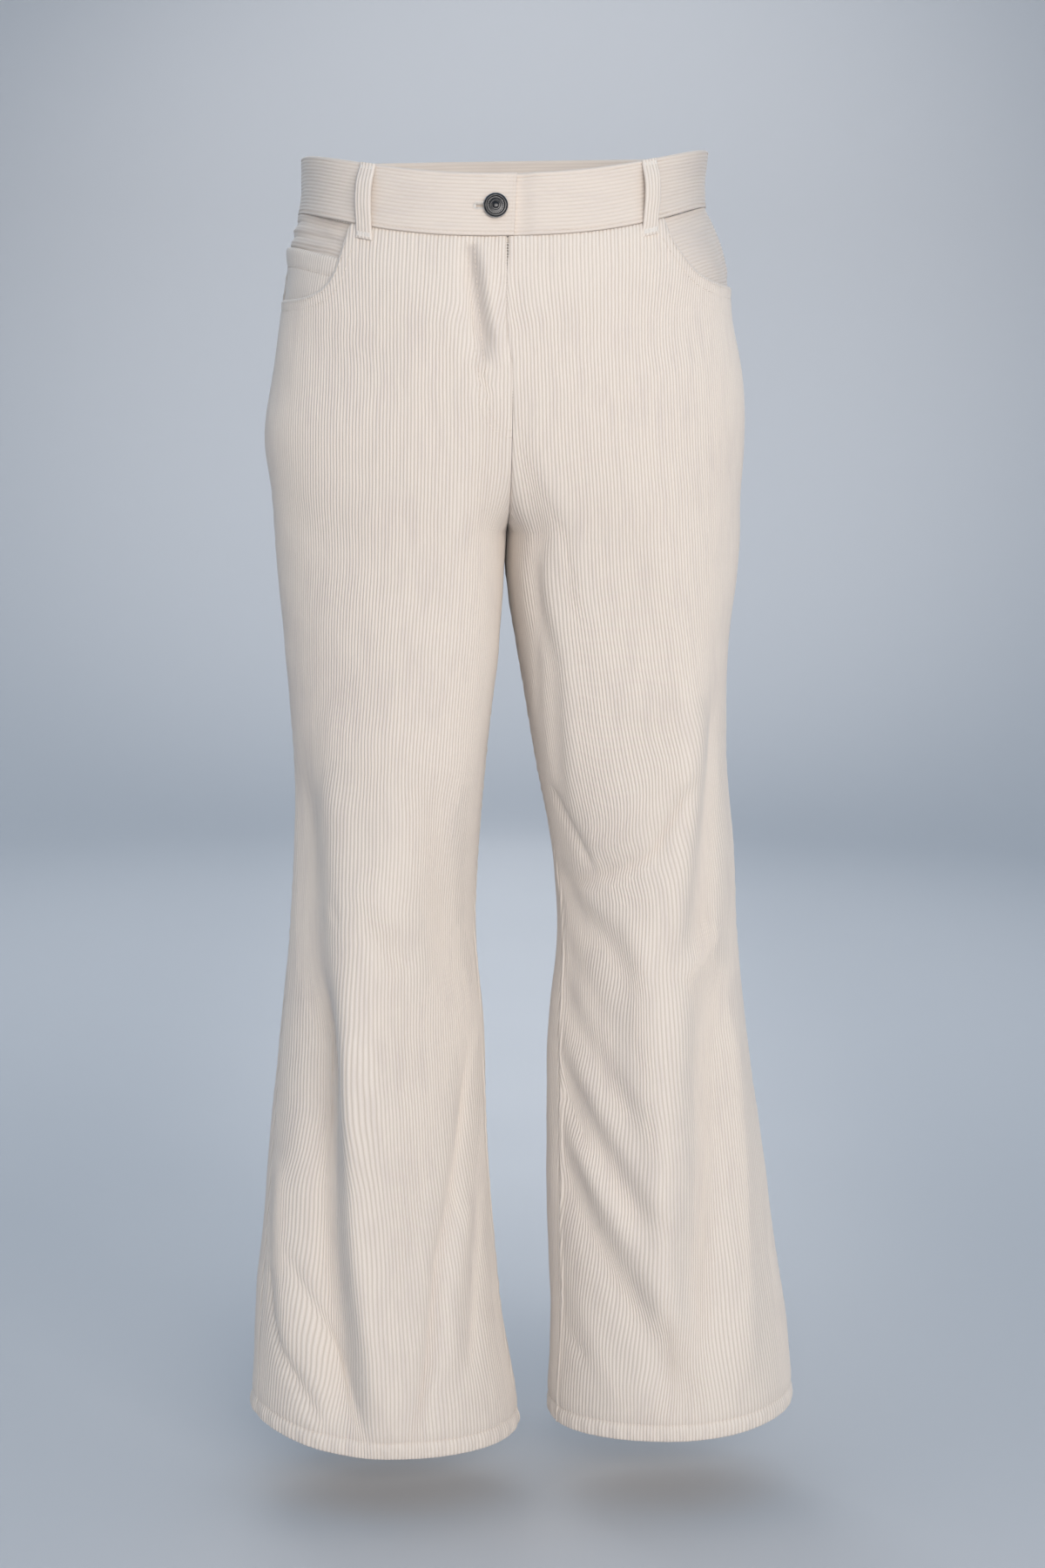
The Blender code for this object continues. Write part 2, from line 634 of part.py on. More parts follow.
class Waist:
    """The band's path round both sides, as a run in millimetres from the centre front."""

    def __init__(self, right, left):
        self.right, self.left = right, left
        self.half = [self.length(side) for side in (right, left)]
        self.total = sum(self.half)

    @staticmethod
    def length(side):
        """Length of a side's waist seam."""
        return seam_place(side, "back_in", SEAM_SIDE_Z) - seam_place(side, "front_in", SEAM_SIDE_Z)

    def place(self, run):
        """Side and place across of a run; past the full round it starts again."""
        run = run % self.total if run > self.total else run
        if run <= self.half[0]:
            return self.right, seam_place(self.right, "front_in", SEAM_SIDE_Z) + run
        return self.left, seam_place(self.left, "back_in", SEAM_SIDE_Z) - (run - self.half[0])

    def point(self, run, height, out):
        """Point at a height over the waist seam, moved out from the cloth."""
        side, across = self.place(run)
        z = np.array(SEAM_SIDE_Z + height)
        for _ in range(4):
            x, y = side.plan(np.array(across), z)
            z = waist_seam_z(x * side.sign, y) + height
        return side.points(across, z, out)

    def grid(self, runs, heights, outs):
        """Grid of points; outs gives one offset for each height or a function of the run."""
        return np.array([[self.point(run, height, outs(run, k)) for run in runs]
                         for k, height in enumerate(heights)])


def band_out(waist, run):
    """Offset of the band's outer face: its left end dips under the right end."""
    under = float(ease((run - (waist.total - UNDER_START)) / (UNDER_START - 3.0)))
    return BAND_PROUD - under * (BAND_WALL + SEAM_GAP)


def waistband(waist):
    """One folded strip round the waist, with the buttonhole in its lapping end."""
    plain = np.linspace(0.0, waist.total - UNDER_START - 3.0, BAND_COLUMNS)
    dip = np.linspace(waist.total - UNDER_START + 2.0, waist.total + 1.0, 6)
    under = np.linspace(waist.total + 13.0, waist.total + UNDERLAP, 3)
    runs = np.concatenate([plain, dip, under])
    heights = (SEAM_GAP / 2, BAND_HEIGHT / 3, BAND_HEIGHT * 2 / 3, BAND_HEIGHT)
    points = waist.grid(runs, heights, lambda run, _: band_out(waist, run))
    made = grid_object("waistband", points, ("corduroy", CORDUROY))
    middle = (1, len(runs) // 2)
    face_outwards(made, waist.point(runs[middle[1]], heights[1], 5.0) - points[middle])
    thicken(made, BAND_WALL)
    return made


def loop_profile():
    """Heights of a belt loop over the waist seam and the offsets of its inner face."""
    rest = BAND_PROUD + SEAM_GAP
    foot = ((-LOOP_FOOT, LOOP_FOOT_AIR), (-LOOP_FOOT / 2, LOOP_FOOT_AIR + 0.1))
    return foot + tuple((height, rest + share * LOOP_CROWN) for height, share in LOOP_RISE)


def belt_loop(waist, name, share):
    """Strip of folded corduroy, tacked under the waist seam and at the band's top edge."""
    middle = share * waist.total
    runs = middle + LOOP_WIDTH * np.array([-0.5, 0.0, 0.5])
    heights, outs = zip(*loop_profile())
    points = waist.grid(runs, heights, lambda _, k: outs[k])
    made = grid_object(name, points, ("corduroy", CORDUROY))
    face_outwards(made, waist.point(middle, heights[4], 20.0) - points[4, 1])
    thicken(made, LOOP_WALL, outwards=True)
    return made


def facing_depth(scoop, from_seam, fallen, deepest):
    """Offset of a facing's outer face: flush by the outseam, deep under the front's edge."""
    near = ((np.abs(from_seam) / scoop.width) ** scoop.power
            + (np.abs(fallen) / scoop.height) ** scoop.power) ** (1 / scoop.power)
    return deepest * ease((near - FACING_FLUSH) / FACING_SINKS)


def facing_points(side, scoop, rows, deepest, lift):
    """Points of a facing or of what lies on it; rows give (fallen, first, last) from the seam."""
    grid = []
    for fallen, first, last in rows:
        plain = SEAM_SIDE_Z - fallen
        from_seam = np.linspace(first, last, FACING_COLUMNS)
        across = seam_place(side, "out", plain) - from_seam
        z = true_height(side, across, plain)
        out = facing_depth(scoop, from_seam, fallen, deepest) + lift
        grid.append(side.points(across, z, out))
    return np.array(grid)


def pocket_facing(name, side, scoop, deepest):
    """The facing that closes a pocket mouth from behind."""
    reach = Scoop(scoop.width + FACING_REACH, scoop.height + FACING_REACH, scoop.power)
    rows = []
    for turn in FACING_TURNS:
        angle = math.radians(turn)
        fallen = reach.height * math.sin(angle) ** (2 / reach.power)
        last = reach.width * math.cos(angle) ** (2 / reach.power)
        rows.append((fallen, SEAM_GAP / 2, last))
    points = facing_points(side, scoop, rows, deepest, 0.0)
    made = grid_object(name, points, ("corduroy", CORDUROY))
    outward = facing_points(side, scoop, rows, deepest, 5.0)
    face_outwards(made, outward[3, 4] - points[3, 4])
    thicken(made, CLOTH)
    return made


def coin_pocket(side, scoop, deepest):
    """Small pocket sewn on the right facing, its lower part behind the front."""
    reach = Scoop(scoop.width + FACING_REACH, scoop.height + FACING_REACH, scoop.power)
    rows = []
    for fallen in COIN_ROWS:
        last = scoop_reach(reach, SEAM_SIDE_Z - fallen) - COIN_SHORT
        rows.append((fallen, COIN_FROM_SEAM, last))
    lift = ROUND_AIR + COIN_WALL
    points = facing_points(side, scoop, rows, deepest, lift)
    made = grid_object("coin_pocket", points, ("corduroy", CORDUROY))
    outward = facing_points(side, scoop, rows, deepest, lift + 5.0)
    face_outwards(made, outward[2, 4] - points[2, 4])
    thicken(made, COIN_WALL)
    return made


def centre_point(right, left, x, z, out):
    """Point of the front near the centre seam, by its distance from the seam."""
    side = right if x < 0 else left
    return side.points(side.bound("front_in", z) + abs(x), np.array(z), out)


def zip_tape(right, left):
    """Woven tape behind the fly's two edges."""
    heights = np.linspace(TAPE_TOP_Z, TAPE_END_Z, TAPE_ROWS)
    places = np.linspace(-TAPE_HALF_WIDTH, TAPE_HALF_WIDTH, TAPE_COLUMNS)
    points = np.array([[centre_point(right, left, fly_edge_x(z) + place, z, TAPE_OUT)
                        for place in places] for z in heights])
    made = grid_object("zip_tape", points, ("zip tape", TAPE))
    face_outwards(made, (0.0, -1.0, 0.0))
    thicken(made, TAPE_WALL)
    return made


def surface_frame(side, across, z):
    """Rotation whose local Z is the cloth's outward normal and whose local X is level."""
    low, high = side.points(across, z, 0.0), side.points(across, z, 1.0)
    normal = Vector(high - low).normalized()
    level = Vector((0.0, 0.0, 1.0)).cross(normal).normalized()
    upright = normal.cross(level)
    return Matrix((level, upright, normal)).transposed().to_4x4()


def place_on(made, side, across, z, out):
    """Stand an object on the cloth, its local Z along the normal."""
    where = Vector(side.points(across, z, out) * MM)
    made.matrix_world = Matrix.Translation(where) @ surface_frame(side, across, z)


def zip_slider(right):
    """Plain body of the slider at the top of the zip, on the tape's inner face."""
    z = np.array(SLIDER_TOP_Z - SLIDER_SIZE[2] / 2)
    across = right.bound("front_in", z) - float(fly_edge_x(z))
    bpy.ops.mesh.primitive_cube_add(size=1.0)
    made = bpy.context.object
    made.name = made.data.name = "zip_slider"
    for vert in made.data.vertices:
        vert.co = [vert.co[0] * SLIDER_SIZE[0] * MM, vert.co[1] * SLIDER_SIZE[2] * MM,
                   vert.co[2] * SLIDER_SIZE[1] * MM]
    depth = TAPE_OUT - TAPE_WALL - 2 * SEAM_GAP - SLIDER_SIZE[1] / 2
    place_on(made, right, across, z, depth)
    made.data.materials.append(material("gunmetal", GUNMETAL))
    bevel = made.modifiers.new("Edges", "BEVEL")
    bevel.width = 0.8 * MM
    bevel.segments = 2
    move_to_collection(made)


def move_to_collection(made):
    """Keep a primitive with the other pieces."""
    for group in list(made.users_collection):
        group.objects.unlink(made)
    collection().objects.link(made)


def button(right, across):
    """Shank button: a dished cap on a shank that passes through the buttonhole."""
    foot = BAND_PROUD - BAND_WALL
    seat = BAND_PROUD + 1.2
    top = seat + BUTTON_THICK
    outline = ((0.0, top - 0.7), (3.0, top - 0.7), (5.6, top - 0.6), (6.6, top), (7.6, top - 0.2),
               (8.3, top - 0.9), (BUTTON_RADIUS, seat + 1.2), (8.0, seat + 0.4), (6.6, seat),
               (SHANK_RADIUS, seat), (SHANK_RADIUS, foot), (0.0, foot))
    mesh = bpy.data.meshes.new("button")
    work = bmesh.new()
    verts = [work.verts.new((radius * MM, 0.0, height * MM)) for radius, height in outline]
    for first, second in zip(verts, verts[1:]):
        work.edges.new((first, second))
    work.to_mesh(mesh)
    work.free()
    made = bpy.data.objects.new("button", mesh)
    collection().objects.link(made)
    turned = made.modifiers.new("Turned", "SCREW")
    turned.steps = turned.render_steps = 24
    turned.use_smooth_shade = True
    turned.use_merge_vertices = True
    turned.merge_threshold = 0.00001
    mesh.materials.append(material("gunmetal", GUNMETAL))
    place_on(made, right, across, np.array(BUTTON_Z), 0.0)


def buttonhole(waist, band, run, height):
    """Cut the eyelet round the shank and the slit beside it through the lapping end."""
    outer = BAND_PROUD + 3.0
    wall = outer - (BAND_PROUD - BAND_WALL) + SEAM_GAP / 2
    side, across = waist.place(run)
    bpy.ops.mesh.primitive_cylinder_add(vertices=16, radius=EYELET_RADIUS * MM, depth=wall * MM)
    eyelet = bpy.context.object
    eyelet.name = "eyelet_cutter"
    place_on(eyelet, side, across, np.array(BUTTON_Z), outer - wall / 2)
    runs = run + np.linspace(1.0, BUTTONHOLE_LENGTH, 5)
    heights = height + BUTTONHOLE_WIDTH * np.array([-0.5, 0.5])
    points = waist.grid(runs, heights, lambda *_: outer)
    slit = grid_object("slit_cutter", points, ("corduroy", CORDUROY))
    face_outwards(slit, (0.0, -1.0, 0.0))
    thicken(slit, wall)
    for cutter in (eyelet, slit):
        move_to_cutters(cutter)
        cut = band.modifiers.new("Cut", "BOOLEAN")
        cut.operation = "DIFFERENCE"
        cut.object = cutter


def move_to_cutters(made):
    """Keep a cutter out of the model."""
    group = bpy.data.collections.get("cutters")
    if group is None:
        group = bpy.data.collections.new("cutters")
        bpy.context.scene.collection.children.link(group)
    for old in list(made.users_collection):
        old.objects.unlink(made)
    group.objects.link(made)
    made.hide_render = True
    made.display_type = "WIRE"


def build():
    """Model every piece of the trousers."""
    right = Side(-1, WIDTHS_RIGHT, FOLDS_FRONT_RIGHT, HEM_RIGHT)
    left = Side(1, WIDTHS_LEFT, FOLDS_FRONT_LEFT, HEM_LEFT)
    waist = Waist(right, left)
    cloth = ("corduroy", CORDUROY)
    panel("front_right", right, "front", SCOOP_RIGHT, cloth)
    panel("front_left", left, "front", SCOOP_LEFT, cloth)
    panel("back_right", right, "back", SCOOP_RIGHT, cloth)
    panel("back_left", left, "back", SCOOP_LEFT, cloth)
    facing_deep = UNDER_PANEL - ROUND_AIR
    coin_deep = facing_deep - COIN_WALL - ROUND_AIR
    pocket_facing("pocket_facing_right", right, SCOOP_RIGHT, coin_deep)
    coin_pocket(right, SCOOP_RIGHT, coin_deep)
    pocket_facing("pocket_facing_left", left, SCOOP_LEFT, facing_deep)
    zip_tape(right, left)
    zip_slider(right)
    for name, share in LOOP_PLACES.items():
        belt_loop(waist, name, share)
    band = waistband(waist)
    button_run = -BUTTON_X
    side, across = waist.place(button_run)
    button(side, across)
    x, y = side.plan(np.array(across), np.array(BUTTON_Z))
    buttonhole(waist, band, button_run, BUTTON_Z - float(waist_seam_z(x * side.sign, y)))


def clear_scene():
    """Remove whatever the scene holds."""
    for old in list(bpy.data.objects):
        bpy.data.objects.remove(old, do_unlink=True)


clear_scene()
build()
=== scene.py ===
"""Flared corduroy trousers in the shape they take when worn, dressed for a studio view.

The cloth is laid as real wales: each panel is a lattice whose columns run down the wales and
whose rows run round the leg, mapped to the form of the worn trousers and cut at its seams.
Places on a leg are (across, z) in millimetres: "across" is the distance along the cloth from
the grain line of the front, positive towards the outseam, and z is the height over the waist.
"""

import logging
import math
from dataclasses import dataclass, field
from enum import Enum
from typing import NamedTuple, Sequence

import bpy
import numpy as np
from bpy.types import Light, Material, Node, NodeSocket, Object
from mathutils import Matrix, Vector


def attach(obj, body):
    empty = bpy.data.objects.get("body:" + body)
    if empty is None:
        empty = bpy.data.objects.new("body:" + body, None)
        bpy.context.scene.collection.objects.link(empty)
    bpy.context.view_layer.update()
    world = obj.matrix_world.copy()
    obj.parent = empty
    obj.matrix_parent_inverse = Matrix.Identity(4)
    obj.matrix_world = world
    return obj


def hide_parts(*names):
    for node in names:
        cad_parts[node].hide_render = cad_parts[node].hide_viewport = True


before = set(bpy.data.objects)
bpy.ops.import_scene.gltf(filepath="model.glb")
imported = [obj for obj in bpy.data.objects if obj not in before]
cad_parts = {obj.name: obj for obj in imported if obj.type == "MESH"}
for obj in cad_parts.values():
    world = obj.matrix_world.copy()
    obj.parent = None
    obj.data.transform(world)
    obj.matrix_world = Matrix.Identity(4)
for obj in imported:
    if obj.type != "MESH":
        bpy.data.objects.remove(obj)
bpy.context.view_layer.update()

log = logging.getLogger("corduroy_trousers")

MM = 0.001
BODY = "root"
Pair = tuple[np.ndarray, np.ndarray]
Triple = tuple[float, float, float]
Colour = tuple[float, float, float, float]

# Cloth
CLOTH = 1.6
HEM_CLOTH = 2.9
HEM_DEPTH = 13.0
HEM_ROLL = 0.45             # the turned-up hem swells this much
HEM_ROPE = 0.42             # and ropes by this share more
WELT = 0.95                 # the front's inseam welt stands this high
WELT_PLACE = 2.9            # this far from the seam
WELT_WIDTH = 1.9
WELT_DITCH = 0.35           # with a shallow ditch beside it
WELT_DITCH_PLACE = 6.4
FAN = 16.0                  # the wales of a flare spread this much towards its seams
FAN_START_Z = -720.0
WAIST_LEAN = 5.0            # the wales lean out this far at the waist seam
WAIST_LEAN_Z = -92.0        # from none at this height
WAIST_LEAN_RUN = 48.0
DRAW_SHARE = 1.3            # a crease draws the wales in by this share of its height
DRAW_MOST = 0.5             # and at most by this share of its width
SEAM_GAP = 0.3
WALE = 2.54                 # pitch of the wales, ten to the inch
WALE_RISE = 0.62            # height of a wale over the valley beside it
WALE_MEAN = 0.42            # the form's face lies this far over the valleys
WALE_SHAPE = (0.0, 0.78, 1.0, 0.78)   # height of a wale at its quarters
ROW_STEP = 7.0

# Waist
SEAM_SIDE_Z = -20.5
SEAM_TILT = 0.031
FRONT_DIP = 25.0
FRONT_DIP_Y = 110.0
FRONT_DIP_POWER = 2.6
BACK_DIP = -10.0
BACK_DIP_Y = 122.0
BACK_DIP_POWER = 1.6
DIP_MOST = 1.1
BAND_HEIGHT = 41.0
BAND_WALL = 3.0
BAND_PROUD = 0.8
UNDERLAP = 38.0
UNDER_START = 17.0
BAND_ROW = 2.2              # a row of stitches this far over the band's lower edge
END_ROWS = (2.2, 6.6)       # two rows this far from its lapped end

# Fork, fly and zip
FORK_START_Z = -150.0
FORK_Z = -275.0
FORK_POWER = 2.8
FRONT_FORK_Z = -252.0
FRONT_FORK_POWER = 3.4
THIGH_POWER = 1.4
THIGH_SQUARE_Z = -360.0
THIGH_ROUND_Z = -560.0
THIGH_PART = 2.6
FLY_EDGE_X = -5.0
FLY_STRAIGHT_Z = -80.0
FLY_END_Z = -150.0
FLY_GAP = 0.05              # the fronts' edges meet this closely over the zip
ZIP_GLIMPSE = 1.3           # they stand this much further apart under the band
ZIP_GLIMPSE_Z = -44.0       # and are closed by this row
ZIP_GLIMPSE_RUN = 16.0      # after closing over this height
FLY_ROWS = (0.0, 5.0)       # the two rows of the J stand this far in from its line
FLY_ROWS_X = (0.0, 22.0, 27.0, 31.0, 33.5)          # its line, from the centre seam
FLY_ROWS_Z = (-190.0, -160.0, -122.0, -78.0, -49.0)  # at these heights
FLY_BEND_Z = -152.0         # where the line turns in to the seam
FLY_BEND = (24.5, 34.0)     # width and height of that turn

# Pocket mouths and what lies behind them
ROUND_AIR = 0.85
COIN_WALL = 1.2
SCOOP_FREE = 24.0           # a front's rows run freely this far below the mouth's edge
FACING_REACH = 12.0
FACING_FLUSH = 0.30
FACING_SINKS = 0.42
SCOOP_SIZE = 62.0           # turns a mouth's nearness into millimetres from its edge
SCOOP_ROWS = (2.6, 8.4)     # two rows of stitches, this far from the edge


class Depth(NamedTuple):
    """Front-to-back shape of the worn trousers at one height."""

    z: float
    front: float
    back: float
    side_out: float
    side_in: float
    power: float


class Width(NamedTuple):
    """Side-to-side shape of one side at one height, as distances from the centre line."""

    z: float
    out: float
    inner: float
    ridge: float
    heel: float
    grain: float
    seam_out: float
    seam_in: float


DEPTHS = tuple(Depth(*row) for row in (
    (50, -99, 112, 0, 0, 2.3),
    (0, -105, 115, 0, 0, 2.3),
    (-45, -110, 122, 0, 0, 2.4),
    (-100, -116, 138, -5, 0, 2.4),
    (-160, -118, 148, -8, 2, 2.3),
    (-215, -113, 142, -10, 5, 2.1),
    (-275, -104, 122, -12, 8, 1.9),
    (-350, -99, 98, -10, 5, 1.8),
    (-430, -94, 80, -8, 0, 1.75),
    (-500, -90, 68, -8, -5, 1.7),
    (-600, -87, 60, -8, -5, 1.6),
    (-700, -86, 58, -6, -5, 1.6),
    (-800, -86, 58, -4, -4, 1.75),
    (-900, -88, 60, -2, -2, 1.9),
    (-980, -90, 62, 0, 0, 2.0),
))

WIDTHS_RIGHT = tuple(Width(*row) for row in (
    (50, 153, 0, 0, 0, 86, 0, 0),
    (-30, 156, 0, 0, 0, 90, 0, 0),
    (-48, 161, 0, 0, 0, 91, 0, 0),
    (-100, 169, 0, 4, 10, 92, 0, 0),
    (-150, 175, 0, 16, 34, 92, 0, 0),
    (-187, 180, 0, 34, 58, 92, 0, 0),
    (-225, 176, 0, 50, 78, 92, -2, 0),
    (-275, 172, 0, 64, 88, 93, -4, 0),
    (-345, 166, 5, 73, 90, 96, -6, 0),
    (-425, 160, 13, 80, 89, 100, -6, 2),
    (-500, 160, 19, 86, 89, 101, -4, 3),
    (-560, 163, 20, 97, 90, 100, 0, 3),
    (-640, 170, 13, 99, 91, 97, 6, 3),
    (-720, 178, 10, 92, 94, 93, 12, 4),
    (-800, 185, 4, 86, 95, 88, 18, 5),
    (-870, 191, -3, 83, 93, 84, 23, 5),
    (-930, 194, -14, 83, 90, 83, 27, 5),
    (-980, 197, -19, 83, 89, 83, 28, 5),
))

WIDTHS_LEFT = tuple(Width(*row) for row in (
    (50, 149.5, 0, 0, 0, 62, 0, 0),
    (-30, 150.5, 0, 0, 0, 63, 0, 0),
    (-48, 160, 0, 0, 0, 63, 0, 0),
    (-100, 168, 0, 8, 10, 64, 0, 0),
    (-150, 177, 0, 26, 34, 66, 0, 0),
    (-187, 179, 0, 50, 60, 68, 0, 0),
    (-225, 177, 0, 78, 80, 71, 0, 0),
    (-275, 176, 0, 104, 92, 74, 0, 0),
    (-345, 170, 11, 120, 94, 82, 3, 2),
    (-425, 171, 25, 129, 98, 95, 7, 5),
    (-500, 179, 39, 118, 108, 104, 4, 10),
    (-560, 183, 43, 110, 113, 108, 0, 16),
    (-640, 192, 38, 115, 115, 110, -4, 23),
    (-720, 205, 37, 118, 121, 117, -6, 27),
    (-800, 217, 39, 122, 128, 120, -6, 29),
    (-870, 229, 42, 129, 135, 122, -5, 29),
    (-930, 236, 41, 132, 138, 124, -4, 28),
    (-980, 239, 41, 133, 140, 125, -4, 28),
))

HEM_RIGHT = {"out": -946.0, "in": -963.0, "front": -958.0, "back": -955.0}
HEM_LEFT = {"out": -942.0, "in": -953.0, "front": -946.0, "back": -947.0}
HEM_PLAIN_Z = -952.0
FOLLOW_WAIST_Z = -50.5
LEVEL_ROWS_Z = -700.0
FOLLOW_HEM_Z = -912.0

# Tables of the surface
LEVEL_STEP = 2.5
LEVEL_TOP = 50.0
LEVEL_LOW = -980.0
ACROSS_STEP = 1.0
ACROSS_MAX = 560.0
QUARTER_STEPS = 120
STRAIGHT_ON = 12.0
NORMAL_STEP = 1.5
LEAST_REACH = 0.02
BACK_GRAIN_X = 88.0         # a back's grain line at the fork
BACK_GRAIN_LEAN = -0.03     # and how it leans above

# Belt loops by their share of the band's run, and the cloth that a front and a back are cut from.
LOOP_SHARES = {
    "belt_loop_front_right": 0.1274,
    "belt_loop_back_right": 0.3435,
    "belt_loop_centre_back": 0.4997,
    "belt_loop_back_left": 0.6616,
    "belt_loop_front_left": 0.8826,
}
FRONT_CUT = (0.285, 0.945)
BACK_CUT = (0.330, 0.955)


class Kind(Enum):
    """How a crease is shaped across its line."""

    SOFT = "soft"           # even on both sides
    LIP_OUT = "lip_out"     # with a raised lip on the side towards the outseam
    LIP_IN = "lip_in"       # with a raised lip on the side towards the centre
    PINCHED = "pinched"     # keen at its line, as at a drag or a knee


class Half(Enum):
    """Which half of a leg a panel covers."""

    FRONT = "front"
    BACK = "back"


@dataclass(frozen=True)
class Crease:
    """A trough (rise < 0) or ridge (rise > 0) of the cloth along a few places of a panel.

    Args:
        path: across and z of each place that its line passes, from its upper to its lower end.
        width: half its width.
        rise: its height in the middle.
        kind: how it is shaped across.
        pressed: share of the pile's height that is pressed flat along it.
    """

    path: tuple[float, ...]
    width: float
    rise: float
    kind: Kind = Kind.SOFT
    pressed: float = 0.0

    def beside(self, across: np.ndarray, z: np.ndarray) -> tuple[np.ndarray, np.ndarray, np.ndarray]:
        """Where places lie beside the crease's line.

        Args:
            across: distances from the panel's grain line.
            z: heights.

        Returns:
            Distances from the line in widths, the side (1 towards the outseam, -1 towards the
            centre) and the share of the crease that is left there as it runs out.
        """
        points = np.array(self.path, float).reshape(-1, 2)
        steps = np.diff(points, axis=0)
        lengths = np.hypot(steps[:, 0], steps[:, 1])
        total = lengths.sum()
        nearest = np.full(np.shape(across), 1e9)
        along = np.zeros(np.shape(across))
        side = np.ones(np.shape(across))
        for k, (start, step, length) in enumerate(zip(points, steps, lengths)):
            t = ((across - start[0]) * step[0] + (z - start[1]) * step[1]) / length ** 2
            first, last = k == 0, k == len(steps) - 1
            held = np.clip(t, -10.0 if first else 0.0, 10.0 if last else 1.0)
            off_x = across - start[0] - held * step[0]
            off_z = z - start[1] - held * step[1]
            distance = np.hypot(off_x, off_z)
            closer = distance < nearest
            nearest = np.where(closer, distance, nearest)
            along = np.where(closer, lengths[:k].sum() + held * length, along)
            side = np.where(closer, np.sign(off_z * step[0] - off_x * step[1]), side)
        run_out = 0.22 * total + 8.0
        fade = ease((along + 0.4 * run_out) / run_out) * ease((total + 0.4 * run_out - along) / run_out)
        return nearest / self.width, side, fade

    def height(self, across: np.ndarray, z: np.ndarray) -> np.ndarray:
        """Height of the crease over the plain form at places of the panel, in millimetres.

        Args:
            across: distances from the panel's grain line.
            z: heights.

        Returns:
            Heights over the plain form.
        """
        aside, side, fade = self.beside(across, z)
        if self.kind is Kind.PINCHED:
            shape = np.exp(-np.abs(aside) ** 1.25 * 1.3)
        else:
            shape = np.exp(-aside ** 2)
        if self.kind in (Kind.LIP_OUT, Kind.LIP_IN):
            lip = 1.7 if self.kind is Kind.LIP_OUT else -1.7
            shape = shape - 0.55 * bell(aside * side - lip, 0.8)
        return self.rise * fade * shape

    def draw(self, across: np.ndarray, z: np.ndarray) -> np.ndarray:
        """How far the crease draws the wales towards its line, in millimetres."""
        aside, side, fade = self.beside(across, z)
        pull = min(DRAW_SHARE * abs(self.rise), DRAW_MOST * self.width)
        return -pull * fade * side * aside * bell(aside, 1.5)

    def press(self, across: np.ndarray, z: np.ndarray) -> np.ndarray:
        """Share of the pile's height that stands at places of the panel."""
        aside, _, fade = self.beside(across, z)
        return 1.0 - self.pressed * fade * np.exp(-aside ** 2)


CREASES_FRONT_RIGHT = (
    Crease((80, -430, 68, -530, 60, -640, 58, -730), 26, -8.0, Kind.LIP_IN),
    Crease((50, -600, 46, -660, 48, -720, 50, -789, 47, -850, 38, -935), 17, -12.0, Kind.LIP_IN),
    Crease((22, -640, 20, -720, 22, -800, 16, -870), 9, 2.0),
    Crease((48, -622, 43, -657, 34, -676), 5, -1.6, Kind.PINCHED),
    Crease((54, -640, 47, -690), 5, 1.4),
    Crease((31, -530, 23, -547), 4.5, -1.5, Kind.PINCHED),
    Crease((10, -516, -22, -551), 12, 1.6),
    Crease((6, -545, -30, -578), 12, -1.4),
    Crease((-44, -439, -54, -515, -72, -611), 16, -3.0),
    Crease((-90, -650, -80, -701, -60, -761, -42, -807, -20, -935), 9, -5.6, Kind.PINCHED),
    Crease((-76, -765, -56, -825, -42, -900), 10, 2.6),
    Crease((-94, -770, -80, -830, -68, -900), 9, -2.4),
    Crease((94, -740, 92, -820, 86, -890), 13, 3.8),
    Crease((110, -826, 104, -858, 93, -886, 76, -908, 54, -936), 6, -3.8, Kind.PINCHED),
    Crease((82, -812, 60, -856, 40, -891, 20, -938), 6.5, -2.8, Kind.PINCHED),
    Crease((-60, -56, -64, -80, -74, -127), 6.5, -5.6, Kind.LIP_IN, 0.8),
    Crease((-67, -140, -79, -157), 4, -1.8, Kind.PINCHED),
    Crease((-80, -170, -72, -215, -78, -262), 11, -1.2),
    Crease((46, -395, 20, -412, -10, -420), 17, 1.2),
    Crease((76, -110, 40, -128, -10, -136), 16, -0.8),
    Crease((84, -235, 50, -262, 6, -272), 16, -0.9),
)
